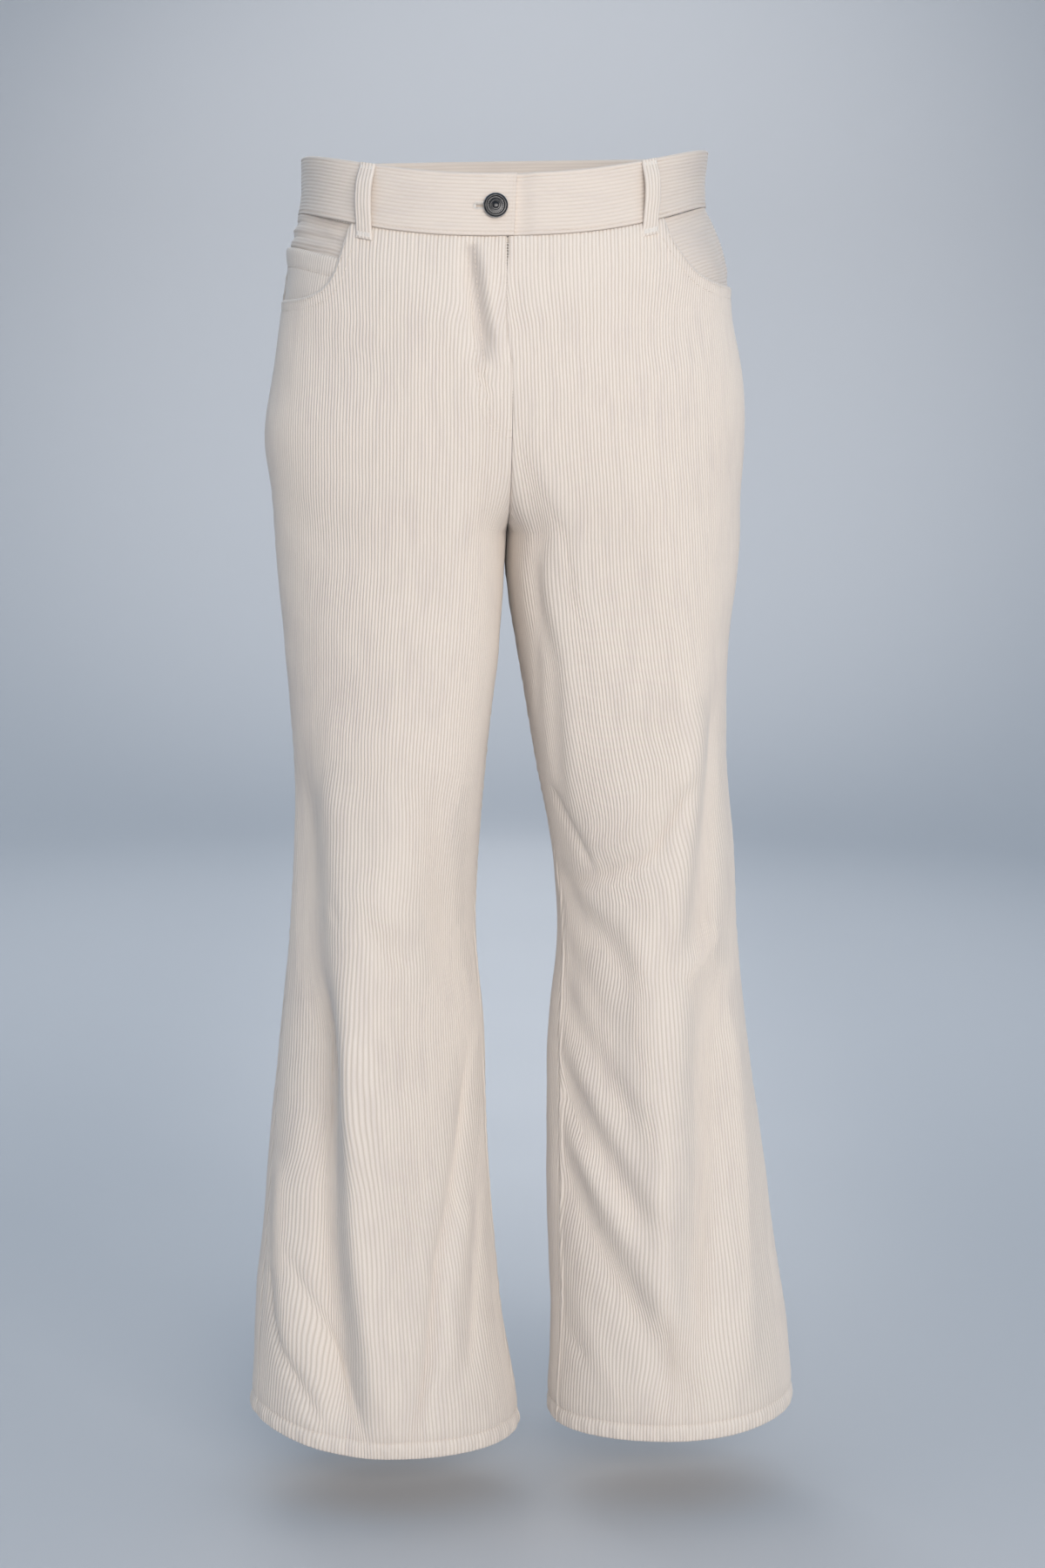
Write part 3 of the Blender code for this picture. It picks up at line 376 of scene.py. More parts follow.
CREASES_FRONT_LEFT = (
    Crease((84, -375, 66, -450, 52, -515, 44, -570), 16, -5.4, Kind.LIP_IN),
    Crease((68, -554, 48, -568, 26, -583), 8, 3.6, Kind.PINCHED),
    Crease((60, -590, 50, -680, 43, -760, 35, -830, 30, -910), 21, -7.6, Kind.LIP_IN),
    Crease((86, -620, 78, -760, 72, -900), 13, 3.4),
    Crease((44, -436, 32, -449, 20, -469, 6, -491, -16, -503, -44, -512, -80, -519), 8, -4.8, Kind.PINCHED),
    Crease((34, -418, 6, -452, -22, -478, -60, -492), 14, 2.6),
    Crease((-86, -445, -66, -471, -46, -499), 6, -4.6, Kind.PINCHED),
    Crease((-92, -512, -68, -543, -36, -560, -14, -596), 13, -3.0, Kind.LIP_OUT),
    Crease((-84, -572, -54, -608, -24, -650), 12, -2.4),
    Crease((-8, -545, -6, -640, 0, -771, 6, -900), 11, 2.6),
    Crease((-90, -598, -70, -625, -44, -655, -20, -700), 12, -3.0, Kind.LIP_OUT),
    Crease((-90, -662, -74, -685, -42, -733, -12, -780), 13, -4.2, Kind.LIP_OUT),
    Crease((-88, -680, -76, -700, -60, -722), 5, -1.5, Kind.PINCHED),
    Crease((-80, -712, -48, -750, -14, -795), 9, 1.6),
    Crease((-90, -735, -76, -757, -40, -812, -4, -867, 12, -915), 15, -5.2, Kind.LIP_OUT),
    Crease((-74, -838, -52, -880, -30, -925), 12, 1.6),
    Crease((-88, -872, -74, -882, -62, -890), 4.5, -1.8, Kind.PINCHED),
    Crease((-62, -185, -54, -250, -66, -300, -84, -390), 9, -2.2),
    Crease((-70, -272, -57, -351, -72, -450), 9, -2.0, Kind.LIP_OUT),
    Crease((-52, -222, -34, -262, -30, -318), 7, -1.3, Kind.PINCHED),
    Crease((70, -340, 40, -372, 0, -390), 16, 1.2),
    Crease((-64, -60, -70, -92), 8, -1.0),
    Crease((90, -60, 60, -90, 20, -108), 15, -1.0),
)
CREASES_BACK_RIGHT = (
    Crease((-64, -226, -20, -262, 34, -276), 12, -4.2, Kind.LIP_IN),
    Crease((-78, -268, -30, -304, 12, -340), 13, -3.8),
    Crease((-60, -462, -10, -494, 34, -520), 11, -4.2, Kind.PINCHED),
    Crease((64, -505, 20, -536, -26, -566), 12, -4.0, Kind.PINCHED),
    Crease((46, -604, 42, -740, 36, -915), 14, -5.6, Kind.LIP_OUT),
    Crease((-40, -630, -46, -760, -54, -915), 14, -5.2, Kind.LIP_IN),
    Crease((4, -680, 0, -800, -6, -915), 15, 3.0),
    Crease((70, -150, 40, -190, -6, -206), 18, -1.5),
    Crease((-70, -120, -40, -168, -2, -196), 16, -1.3),
    Crease((76, -340, 40, -384, 0, -402), 15, -2.2),
    Crease((84, -700, 96, -820, 100, -915), 12, -3.0),
)
CREASES_BACK_LEFT = (
    Crease((-60, -220, -16, -256, 40, -268), 12, -4.0, Kind.LIP_IN),
    Crease((-76, -262, -34, -310, 20, -338), 12, -3.9),
    Crease((-58, -470, -4, -500, 40, -512), 12, -4.0, Kind.PINCHED),
    Crease((60, -520, 24, -548, -22, -560), 11, -4.2, Kind.PINCHED),
    Crease((50, -620, 44, -760, 40, -905), 13, -5.2, Kind.LIP_OUT),
    Crease((-36, -640, -44, -780, -48, -905), 14, -5.4, Kind.LIP_IN),
    Crease((6, -660, 2, -790, 0, -905), 15, 2.8),
    Crease((72, -140, 36, -186, -2, -200), 18, -1.4),
    Crease((-66, -128, -36, -172, 0, -190), 16, -1.4),
    Crease((72, -352, 30, -392, -12, -404), 14, -2.4),
    Crease((90, -690, 100, -800, 108, -905), 12, -3.2),
)


@dataclass(frozen=True)
class Scoop:
    """The pocket mouth cut out of a front, from the waist seam to the outseam."""

    width: float
    height: float
    power: float

    def widened(self, reach: float) -> "Scoop":
        """The same mouth, larger all round by a reach."""
        return Scoop(self.width + reach, self.height + reach, self.power)

    def top(self, from_seam: np.ndarray) -> np.ndarray:
        """How far the mouth's edge has fallen from the waist seam at places beside the outseam."""
        share = np.clip(from_seam / self.width, 0.0, 1.0)
        return self.height * (1 - share ** self.power) ** (1 / self.power)

    def reach(self, fallen: float) -> float:
        """How far the mouth reaches from the outseam at a depth."""
        share = min(max(fallen / self.height, 0.0), 1.0)
        return self.width * (1 - share ** self.power) ** (1 / self.power)

    def nearness(self, from_seam: np.ndarray, fallen: np.ndarray) -> np.ndarray:
        """1 on the mouth's edge, less inside it and more outside."""
        return ((np.abs(from_seam) / self.width) ** self.power
                + (np.abs(fallen) / self.height) ** self.power) ** (1 / self.power)


SCOOP_RIGHT = Scoop(94.5, 63.0, 3.6)
SCOOP_LEFT = Scoop(92.0, 57.0, 3.0)


def ease(value: np.ndarray | float) -> np.ndarray | float:
    """Smooth step from 0 to 1."""
    t = np.clip(value, 0.0, 1.0)
    return t * t * (3 - 2 * t)


def bell(value: np.ndarray, reach: float) -> np.ndarray:
    """Soft hump: 1 where the value is 0, and nearly 0 from twice the reach on."""
    return np.exp(-(value / reach) ** 2)


def column(rows: Sequence[NamedTuple], name: str, z: np.ndarray | float) -> np.ndarray:
    """Value of a named column of a table at heights z, on a smooth curve through its rows.

    Args:
        rows: the table.
        name: the column.
        z: heights.

    Returns:
        The values.
    """
    ordered = sorted(rows, key=lambda row: row.z)
    heights = np.array([row.z for row in ordered], float)
    values = np.array([getattr(row, name) for row in ordered], float)
    slopes = np.gradient(values, heights)
    z = np.clip(np.asarray(z, float), heights[0], heights[-1])
    k = np.clip(np.searchsorted(heights, z) - 1, 0, len(heights) - 2)
    span = heights[k + 1] - heights[k]
    t = (z - heights[k]) / span
    return (values[k] * (2 * t ** 3 - 3 * t ** 2 + 1) + values[k + 1] * (3 * t ** 2 - 2 * t ** 3)
            + span * (slopes[k] * (t ** 3 - 2 * t ** 2 + t) + slopes[k + 1] * (t ** 3 - t ** 2)))


def swell(u: np.ndarray, v: np.ndarray, size: float, seed: float) -> np.ndarray:
    """Smooth uneven relief between about -1 and 1, the same each run.

    Args:
        u: first coordinates, in millimetres.
        v: second coordinates.
        size: rough distance between its hills.
        seed: a number that changes the pattern.

    Returns:
        The relief.
    """
    k = 2 * math.pi / size
    total = (np.sin(k * (0.83 * u + 0.31 * v) + 1.7 * seed)
             + np.sin(k * (-0.52 * u + 0.71 * v) + 2.9 * seed + 0.6 * np.sin(k * 0.4 * u + seed))
             + np.sin(k * (0.17 * u - 0.96 * v) + 4.1 * seed)
             + np.sin(k * (0.61 * u + 0.58 * v) * 1.7 + 5.3 * seed) * 0.6)
    return total / 3.0


def wale_height(place: np.ndarray) -> np.ndarray:
    """Height of the pile over the form's face at distances across the wales."""
    t = np.mod(place / WALE, 1.0) * len(WALE_SHAPE)
    k = np.floor(t).astype(int) % len(WALE_SHAPE)
    shape = np.array(WALE_SHAPE)
    share = shape[k] + (shape[(k + 1) % len(shape)] - shape[k]) * (t - np.floor(t))
    return share * WALE_RISE - WALE_MEAN


def waist_seam_z(x: np.ndarray, y: np.ndarray) -> np.ndarray:
    """Height of the waist seam at a plan point."""
    front = np.clip(-y / FRONT_DIP_Y, 0.0, DIP_MOST) ** FRONT_DIP_POWER
    back = np.clip(y / BACK_DIP_Y, 0.0, DIP_MOST) ** BACK_DIP_POWER
    return SEAM_SIDE_Z + SEAM_TILT * x - FRONT_DIP * front - BACK_DIP * back


def fly_edge_x(z: np.ndarray | float) -> np.ndarray | float:
    """Centre-front edge of the right front."""
    return FLY_EDGE_X * (1 - ease((FLY_STRAIGHT_Z - z) / (FLY_STRAIGHT_Z - FLY_END_Z)))


def fork_held(z: float, fork_z: float, power: float) -> float:
    """Share of its depth that a centre seam still has at a height, on its way under to the fork."""
    drop = np.clip((FORK_START_Z - z) / (FORK_START_Z - fork_z), 0.0, 1.0)
    return min(float((1 - drop ** power) ** (1 / power)), 1.0)


def raised(faced: Pair, out: np.ndarray | float) -> np.ndarray:
    """Points moved off a face along its normals; faced holds its points and the normals."""
    place, normal = faced
    return place + normal * np.broadcast_to(np.asarray(out, float), place.shape[:-1])[..., None]


class LegSurface:
    """One side of the worn trousers as a surface over (across, z)."""

    def __init__(self, sign: int, widths: Sequence[Width], hem: dict[str, float]) -> None:
        """Work out the rings.

        Args:
            sign: -1 for the wearer's right, 1 for the left.
            widths: the side's widths.
            hem: heights of its hem's edge.
        """
        self.sign = sign
        self.widths = widths
        self.hem = hem
        self.levels = np.arange(LEVEL_LOW, LEVEL_TOP + LEVEL_STEP, LEVEL_STEP)
        self.across = np.arange(-ACROSS_MAX, ACROSS_MAX + ACROSS_STEP, ACROSS_STEP)
        rings = [self.ring(z) for z in self.levels]
        self.x = np.array([ring[0] for ring in rings])
        self.y = np.array([ring[1] for ring in rings])
        self.bounds = {name: np.array([ring[2][name] for ring in rings]) for name in rings[0][2]}
        self.plain = np.arange(HEM_PLAIN_Z, SEAM_SIDE_Z + 1.0, 2.0)
        self.seams = {name: np.array([self.seam_place(name, plain) for plain in self.plain])
                      for name in self.bounds}

    def ring(self, z: float) -> tuple[np.ndarray, np.ndarray, dict[str, float]]:
        """Plan of the ring at a height, at even steps across, and the places of its seams.

        Args:
            z: the height.

        Returns:
            Plan places x and y, and each seam's place across.
        """
        width = {name: float(column(self.widths, name, z)) for name in Width._fields[1:]}
        depth = {name: float(column(DEPTHS, name, z)) for name in Depth._fields[1:]}
        power = depth["power"]
        share = np.linspace(0.0, 1.0, QUARTER_STEPS)
        angle = share * math.pi / 2
        u, v = np.sin(angle) ** (2 / power), np.cos(angle) ** (2 / power)

        def outer(line_x: float, line_y: float) -> Pair:
            """Quarter from a foremost or rearmost line out to the outer edge."""
            return (line_x + (width["out"] - line_x) * u,
                    depth["side_out"] + (line_y - depth["side_out"]) * v)

        above = z > FORK_Z

        def inner(line_x: float, line_y: float, power: float, held: float,
                  parted: float) -> Pair:
            """Quarter from the line to the inner edge, or to the centre seam above the fork.

            Args:
                line_x: the line in plan.
                line_y: its place from front to back.
                power: how square the quarter is.
                held: share of its depth that the centre seam has.
                parted: how far the inner thigh is pushed out.

            Returns:
                Plan places x and y.
            """
            reach = 1.0
            edge = width["inner"]
            if above:
                reach = max((1 - held ** power) ** (1 / power), LEAST_REACH)
                edge = 0.0
            turn = share * math.asin(reach ** (power / 2))
            on = np.sin(turn) ** (2 / power) / reach
            return (line_x + (edge - line_x) * on + parted * np.sin(math.pi * share) ** 2,
                    depth["side_in"] + (line_y - depth["side_in"]) * np.cos(turn) ** (2 / power))

        square = power + THIGH_POWER * ease((z - THIGH_ROUND_Z) / (THIGH_SQUARE_Z - THIGH_ROUND_Z))
        parted = THIGH_PART * (ease((FORK_START_Z - z) / (FORK_START_Z - FORK_Z))
                               * ease((z - THIGH_SQUARE_Z) / (FORK_Z - THIGH_SQUARE_Z)))
        front_in = [part[::-1] for part in inner(width["ridge"], depth["front"], square,
                                                 fork_held(z, FRONT_FORK_Z, FRONT_FORK_POWER), parted)]
        back_in = inner(width["heel"], depth["back"], power, fork_held(z, FORK_Z, FORK_POWER), 0.0)
        front_out = outer(width["ridge"], depth["front"])
        back_out = [part[::-1] for part in outer(width["heel"], depth["back"])]
        x, y = (np.concatenate([front_in[k], front_out[k][1:], back_out[k][1:], back_in[k][1:]])
                for k in (0, 1))
        arc = np.concatenate([[0.0], np.cumsum(np.hypot(np.diff(x), np.diff(y)))])
        front = slice(0, 2 * QUARTER_STEPS - 1)
        back = slice(2 * QUARTER_STEPS - 2, None)
        grain = np.interp(width["grain"], x[front], arc[front])
        across = arc - grain
        back_grain_x = width["heel"] if z < FORK_Z else BACK_GRAIN_X + BACK_GRAIN_LEAN * (z - FORK_Z)
        bounds = {
            "front_in": across[0] + (0.0 if above else width["seam_in"]),
            "out": across[2 * QUARTER_STEPS - 2] - width["seam_out"],
            "back_in": across[-1] + (0.0 if above else width["seam_in"]),
            "back_grain": np.interp(back_grain_x, x[back][::-1], across[back][::-1]),
        }
        if above:
            x = np.concatenate([[x[0] - STRAIGHT_ON], x, [x[-1] - STRAIGHT_ON]])
            y = np.concatenate([[y[0]], y, [y[-1]]])
            across = np.concatenate([[across[0] - STRAIGHT_ON], across, [across[-1] + STRAIGHT_ON]])
        else:
            girth = arc[-1]
            x = np.concatenate([x[:-1], x, x[1:]])
            y = np.concatenate([y[:-1], y, y[1:]])
            across = np.concatenate([across[:-1] - girth, across, across[1:] + girth])
        keep = np.concatenate([[True], np.diff(across) > 1e-6])
        return (np.interp(self.across, across[keep], x[keep]),
                np.interp(self.across, across[keep], y[keep]), bounds)

    def bound(self, name: str, z: np.ndarray | float) -> np.ndarray:
        """Place of a seam or grain line, across, at heights z."""
        return np.interp(z, self.levels, self.bounds[name])

    def plan(self, across: np.ndarray, z: np.ndarray) -> Pair:
        """Plan point of the plain form.

        Args:
            across: places across, counted from the front's grain line.
            z: heights.

        Returns:
            Plan places x, outwards, and y.
        """
        i = np.clip((z - LEVEL_LOW) / LEVEL_STEP, 0, len(self.levels) - 1.001)
        j = np.clip((across + ACROSS_MAX) / ACROSS_STEP, 0, len(self.across) - 1.001)
        i0, j0 = i.astype(int), j.astype(int)
        a, b = i - i0, j - j0

        def blend(table: np.ndarray) -> np.ndarray:
            """Value of a table between its four nearest entries."""
            return ((1 - a) * ((1 - b) * table[i0, j0] + b * table[i0, j0 + 1])
                    + a * ((1 - b) * table[i0 + 1, j0] + b * table[i0 + 1, j0 + 1]))

        return blend(self.x), blend(self.y)

    def points(self, across: np.ndarray, z: np.ndarray, out: np.ndarray | float = 0.0) -> np.ndarray:
        """Points over the form's face, in millimetres.

        Args:
            across: places across.
            z: heights.
            out: how far each point lies off the face along its normal.

        Returns:
            Points (..., 3).
        """
        return raised(self.faced(across, z), out)

    def faced(self, across: np.ndarray, z: np.ndarray) -> Pair:
        """Points of the form's face and its outward normals.

        Args:
            across: places across, counted from the front's grain line.
            z: heights.

        Returns:
            Points in millimetres and normals.
        """
        across, z = np.broadcast_arrays(np.asarray(across, float), np.asarray(z, float))
        step = NORMAL_STEP
        east = np.stack(self.plan(across + step, z) + (z,), -1)
        west = np.stack(self.plan(across - step, z) + (z,), -1)
        high = np.stack(self.plan(across, z + 2 * step) + (z + 2 * step,), -1)
        low = np.stack(self.plan(across, z - 2 * step) + (z - 2 * step,), -1)
        normal = np.cross(east - west, high - low)
        normal /= np.maximum(np.linalg.norm(normal, axis=-1, keepdims=True), 1e-9)
        mirror = np.array([self.sign, 1.0, 1.0])
        return np.stack(self.plan(across, z) + (z,), -1) * mirror, normal * mirror

    def hem_z(self, x: np.ndarray, y: np.ndarray) -> np.ndarray:
        """Height of the hem's edge at a plan point, x measured from the centre line.

        Args:
            x: plan places outwards.
            y: plan places from front to back.

        Returns:
            The heights.
        """
        edges = [float(column(self.widths, name, HEM_PLAIN_Z)) for name in ("inner", "out")]
        ends = [float(column(DEPTHS, name, HEM_PLAIN_Z)) for name in ("front", "back")]
        east = (2 * x - sum(edges)) / (edges[1] - edges[0])
        north = (2 * y - sum(ends)) / (ends[1] - ends[0])
        sides = np.where(east > 0, self.hem["out"], self.hem["in"])
        fronts = np.where(north < 0, self.hem["front"], self.hem["back"])
        return (sides * east ** 2 + fronts * north ** 2) / (east ** 2 + north ** 2)

    def true_height(self, across: np.ndarray, plain: np.ndarray) -> np.ndarray:
        """Height at a place of a row that follows the waist seam above and the hem below.

        Args:
            across: places across, counted from the front's grain line.
            plain: plain heights of the rows.

        Returns:
            The heights.
        """
        top_share = ease((plain - FORK_START_Z) / (FOLLOW_WAIST_Z - FORK_START_Z))
        hem_share = ease((LEVEL_ROWS_Z - plain) / (LEVEL_ROWS_Z - FOLLOW_HEM_Z))
        z = np.array(plain, float) + 0.0 * across
        for _ in range(4):
            x, y = self.plan(across, z)
            to_waist = waist_seam_z(x * self.sign, y) - SEAM_SIDE_Z - SEAM_GAP / 2
            to_hem = self.hem_z(x, y) - HEM_PLAIN_Z
            z = plain + top_share * to_waist + hem_share * to_hem
        return z

    def seam_place(self, name: str, plain: float) -> float:
        """Place of a seam, across, at the height that a row has there."""
        across = self.bound(name, plain)
        for _ in range(3):
            across = self.bound(name, self.true_height(across, np.array(plain)))
        return float(across)

    def seam(self, name: str, plain: np.ndarray) -> np.ndarray:
        """Places of a seam, across, on many rows."""
        return np.interp(plain, self.plain, self.seams[name])


# --- meshes

def deselect_all() -> None:
    """Leave nothing selected and no object active in edit mode."""
    if bpy.context.object and bpy.context.object.mode != "OBJECT":
        bpy.ops.object.mode_set(mode="OBJECT")
    bpy.ops.object.select_all(action="DESELECT")


def activate(piece: Object) -> None:
    """Make a piece the only selected and active object."""
    deselect_all()
    piece.select_set(True)
    bpy.context.view_layer.objects.active = piece


def lay_cloth(name: str, points: np.ndarray, uv: np.ndarray, keen: float = 70.0) -> Object:
    """Lay a grid round a sheet's two faces and close its ends.

    Args:
        name: the piece's name.
        points: places (rows, columns, 3) in millimetres; each row goes once round the sheet's
            section and ends on the point where it starts.
        uv: the same grid's places on the cloth (rows, columns, 2) in metres.
        keen: edges sharper than this angle, in degrees, stay sharp.

    Returns:
        The closed piece.
    """
    rows, columns = points.shape[:2]
    deselect_all()
    bpy.ops.mesh.primitive_grid_add(x_subdivisions=columns - 1, y_subdivisions=rows - 1, size=1.0)
    piece = bpy.context.object
    piece.name = piece.data.name = name
    mesh = piece.data
    flat = np.empty(len(mesh.vertices) * 3)
    mesh.vertices.foreach_get("co", flat)
    flat = flat.reshape(-1, 3)
    j = np.rint((flat[:, 0] + 0.5) * (columns - 1)).astype(int)
    i = np.rint((flat[:, 1] + 0.5) * (rows - 1)).astype(int)
    mesh.vertices.foreach_set("co", (points[i, j] * MM).ravel())
    corners = np.empty(len(mesh.loops), int)
    mesh.loops.foreach_get("vertex_index", corners)
    layer = mesh.uv_layers.active or mesh.uv_layers.new(name="UVMap")
    layer.uv.foreach_set("vector", uv[i[corners], j[corners]].ravel())
    bpy.ops.object.mode_set(mode="EDIT")
    bpy.ops.mesh.select_all(action="SELECT")
    bpy.ops.mesh.remove_doubles(threshold=2e-6)
    bpy.ops.mesh.select_all(action="DESELECT")
    bpy.ops.mesh.select_mode(type="EDGE")
    bpy.ops.mesh.select_non_manifold(extend=False, use_wire=False, use_boundary=True,
                                     use_multi_face=False, use_non_contiguous=False, use_verts=False)
    bpy.ops.mesh.fill_holes(sides=0)
    bpy.ops.mesh.select_all(action="SELECT")
    bpy.ops.mesh.normals_make_consistent(inside=False)
    bpy.ops.object.mode_set(mode="OBJECT")
    bpy.ops.object.shade_smooth_by_angle(angle=math.radians(keen))
    return piece


def lay_shell(name: str, outer: np.ndarray, inner: np.ndarray, cloth: np.ndarray) -> Object:
    """Lay a sheet whose inner face has every fourth column of the outer one.

    Args:
        name: the piece's name.
        outer: places of the outer face (rows, columns, 3) in millimetres.
        inner: places of the inner face.
        cloth: the outer face's places on the cloth (rows, columns, 2) in millimetres.

    Returns:
        The closed piece.
    """
    points = np.concatenate([outer, inner[:, ::-1], outer[:, :1]], 1)
    uv = np.concatenate([cloth, cloth[:, ::4][:, ::-1], cloth[:, :1]], 1) * MM
    return lay_cloth(name, points, uv)


def linked(name: str, points: Sequence[Sequence[float]], edges: Sequence[tuple[int, int]],
           faces: Sequence[tuple[int, ...]]) -> Object:
    """Put a new mesh into the scene.

    Args:
        name: the object's name.
        points: its points in metres.
        edges: its loose edges.
        faces: its faces.

    Returns:
        The object.
    """
    mesh = bpy.data.meshes.new(name)
    mesh.from_pydata(points, edges, faces)
    piece = bpy.data.objects.new(name, mesh)
    bpy.context.scene.collection.objects.link(piece)
    return piece


def taken(piece: Object) -> tuple[np.ndarray, list[tuple[int, ...]]]:
    """Points and faces of a form that is modelled once, and then taken away."""
    points = np.array([vert.co[:] for vert in piece.data.vertices])
    faces = [tuple(face.vertices) for face in piece.data.polygons]
    bpy.data.objects.remove(piece, do_unlink=True)
    return points, faces


def set_out(name: str, copies: Sequence[np.ndarray], faces: list[tuple[int, ...]]) -> Object:
    """Join the copies of a form in one piece.

    Args:
        name: the piece's name.
        copies: each copy's points in metres.
        faces: the form's faces.

    Returns:
        The piece.
    """
    count = len(copies[0])
    all_faces = [tuple(count * k + index for index in face) for k in range(len(copies)) for face in faces]
    return linked(name, np.concatenate(copies).tolist(), [], all_faces)


def spun(name: str, outline: Sequence[tuple[float, float]], steps: int, merge: float,
         inside: bool = False) -> Object:
    """Turn an outline once round the Z axis.

    Args:
        name: the piece's name.
        outline: radii and heights in metres.
        steps: how many steps the turn has.
        merge: points nearer to each other than this become one.
        inside: whether the faces look inwards.

    Returns:
        The piece.
    """
    piece = linked(name, [(radius, 0.0, height) for radius, height in outline],
                   [(k, k + 1) for k in range(len(outline) - 1)], [])
    activate(piece)
    bpy.ops.object.mode_set(mode="EDIT")
    bpy.ops.mesh.select_all(action="SELECT")
    bpy.ops.mesh.spin(steps=steps, angle=2 * math.pi, center=(0, 0, 0), axis=(0, 0, 1))
    bpy.ops.mesh.select_all(action="SELECT")
    bpy.ops.mesh.remove_doubles(threshold=merge)
    bpy.ops.mesh.normals_make_consistent(inside=inside)
    bpy.ops.object.mode_set(mode="OBJECT")
    return piece


def dress(piece: Object, finish: Material, slot: str, *nodes: str) -> None:
    """Give a piece its material and its body, and hide the nodes it stands for.

    Args:
        piece: the piece.
        finish: its material.
        slot: the record's slot that the material stands for; not used.
        nodes: the nodes that it replaces.
    """
    piece.data.materials.clear()
    piece.data.materials.append(finish)
    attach(piece, BODY)
    if nodes:
        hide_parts(*nodes)
    log.info("%s: %d faces", piece.name, len(piece.data.polygons))


# --- finishes

class Nodes:
    """Short way to build a material's node tree."""

    def __init__(self, name: str) -> None:
        """Start a material with a Principled shader."""
        self.material = bpy.data.materials.new(name)
        self.material.use_nodes = True
        self.tree = self.material.node_tree
        self.shader = self.tree.nodes["Principled BSDF"]

    def add(self, kind: str, **settings: object) -> Node:
        """Add a node and set its properties or its inputs by name.

        Args:
            kind: the node's type.
            settings: properties and inputs; underscores stand for spaces.

        Returns:
            The node.
        """
        node = self.tree.nodes.new(kind)
        for name, value in settings.items():
            if hasattr(node, name):
                setattr(node, name, value)
            else:
                node.inputs[name.replace("_", " ").title()].default_value = value
        return node

    def link(self, source: NodeSocket, target: NodeSocket) -> None:
        """Join two sockets."""
        self.tree.links.new(source, target)

    def feed(self, socket: NodeSocket, value: object) -> None:
        """Link a socket to an input, or set the input to a number or colour.

        Args:
            socket: the input.
            value: the socket, number or colour that it takes.
        """
        if isinstance(value, NodeSocket):
            self.link(value, socket)
        else:
            socket.default_value = value

    def shade(self, **values: object) -> None:
        """Feed the shader's inputs, each named by its words with underscores between them."""
        for name, value in values.items():
            words = name.replace("_", " ").title().replace("Ior", "IOR")
            self.feed(self.shader.inputs[words], value)

    def bump(self, height: NodeSocket, strength: float, distance: float) -> None:
        """Give the shader a bumpy surface.

        Args:
            height: heights of the bumps.
            strength: how much they count.
            distance: how high they stand, in metres.
        """
        bump = self.add("ShaderNodeBump", strength=strength, distance=distance)
        self.link(height, bump.inputs["Height"])
        self.shade(normal=bump.outputs[0])

    def maths(self, operation: str, first: object, second: object = 0.0) -> NodeSocket:
        """Result of a Math node on two sockets or numbers.

        Args:
            operation: what it does.
            first: its first value.
            second: its second value.

        Returns:
            The result.
        """
        node = self.add("ShaderNodeMath", operation=operation)
        for socket, value in zip(node.inputs, (first, second)):
            self.feed(socket, value)
        return node.outputs[0]

    def mix(self, share: object, first: object, second: object) -> NodeSocket:
        """Colour between two colours or sockets.

        Args:
            share: how much of the second it takes.
            first: the first colour.
            second: the second colour.

        Returns:
            The colour.
        """
        node = self.add("ShaderNodeMix", data_type="RGBA")
        sockets = (node.inputs["Factor"], node.inputs[6], node.inputs[7])
        for socket, value in zip(sockets, (share, first, second)):
            self.feed(socket, value)
        return node.outputs[2]

    def noise(self, vector: NodeSocket, scale: float, detail: float = 2.0,
              stretch: Triple = (1.0, 1.0, 1.0)) -> NodeSocket:
        """Noise between about 0.3 and 0.7 on a vector that may be stretched.

        Args:
            vector: the places.
            scale: how fine it is.
            detail: how many finer layers it has.
            stretch: factors on the vector.

        Returns:
            The noise.
        """
        mapping = self.add("ShaderNodeMapping", scale=stretch)
        self.link(vector, mapping.inputs["Vector"])
        noise = self.add("ShaderNodeTexNoise", scale=scale, detail=detail)
        self.link(mapping.outputs[0], noise.inputs["Vector"])
        return noise.outputs[0]


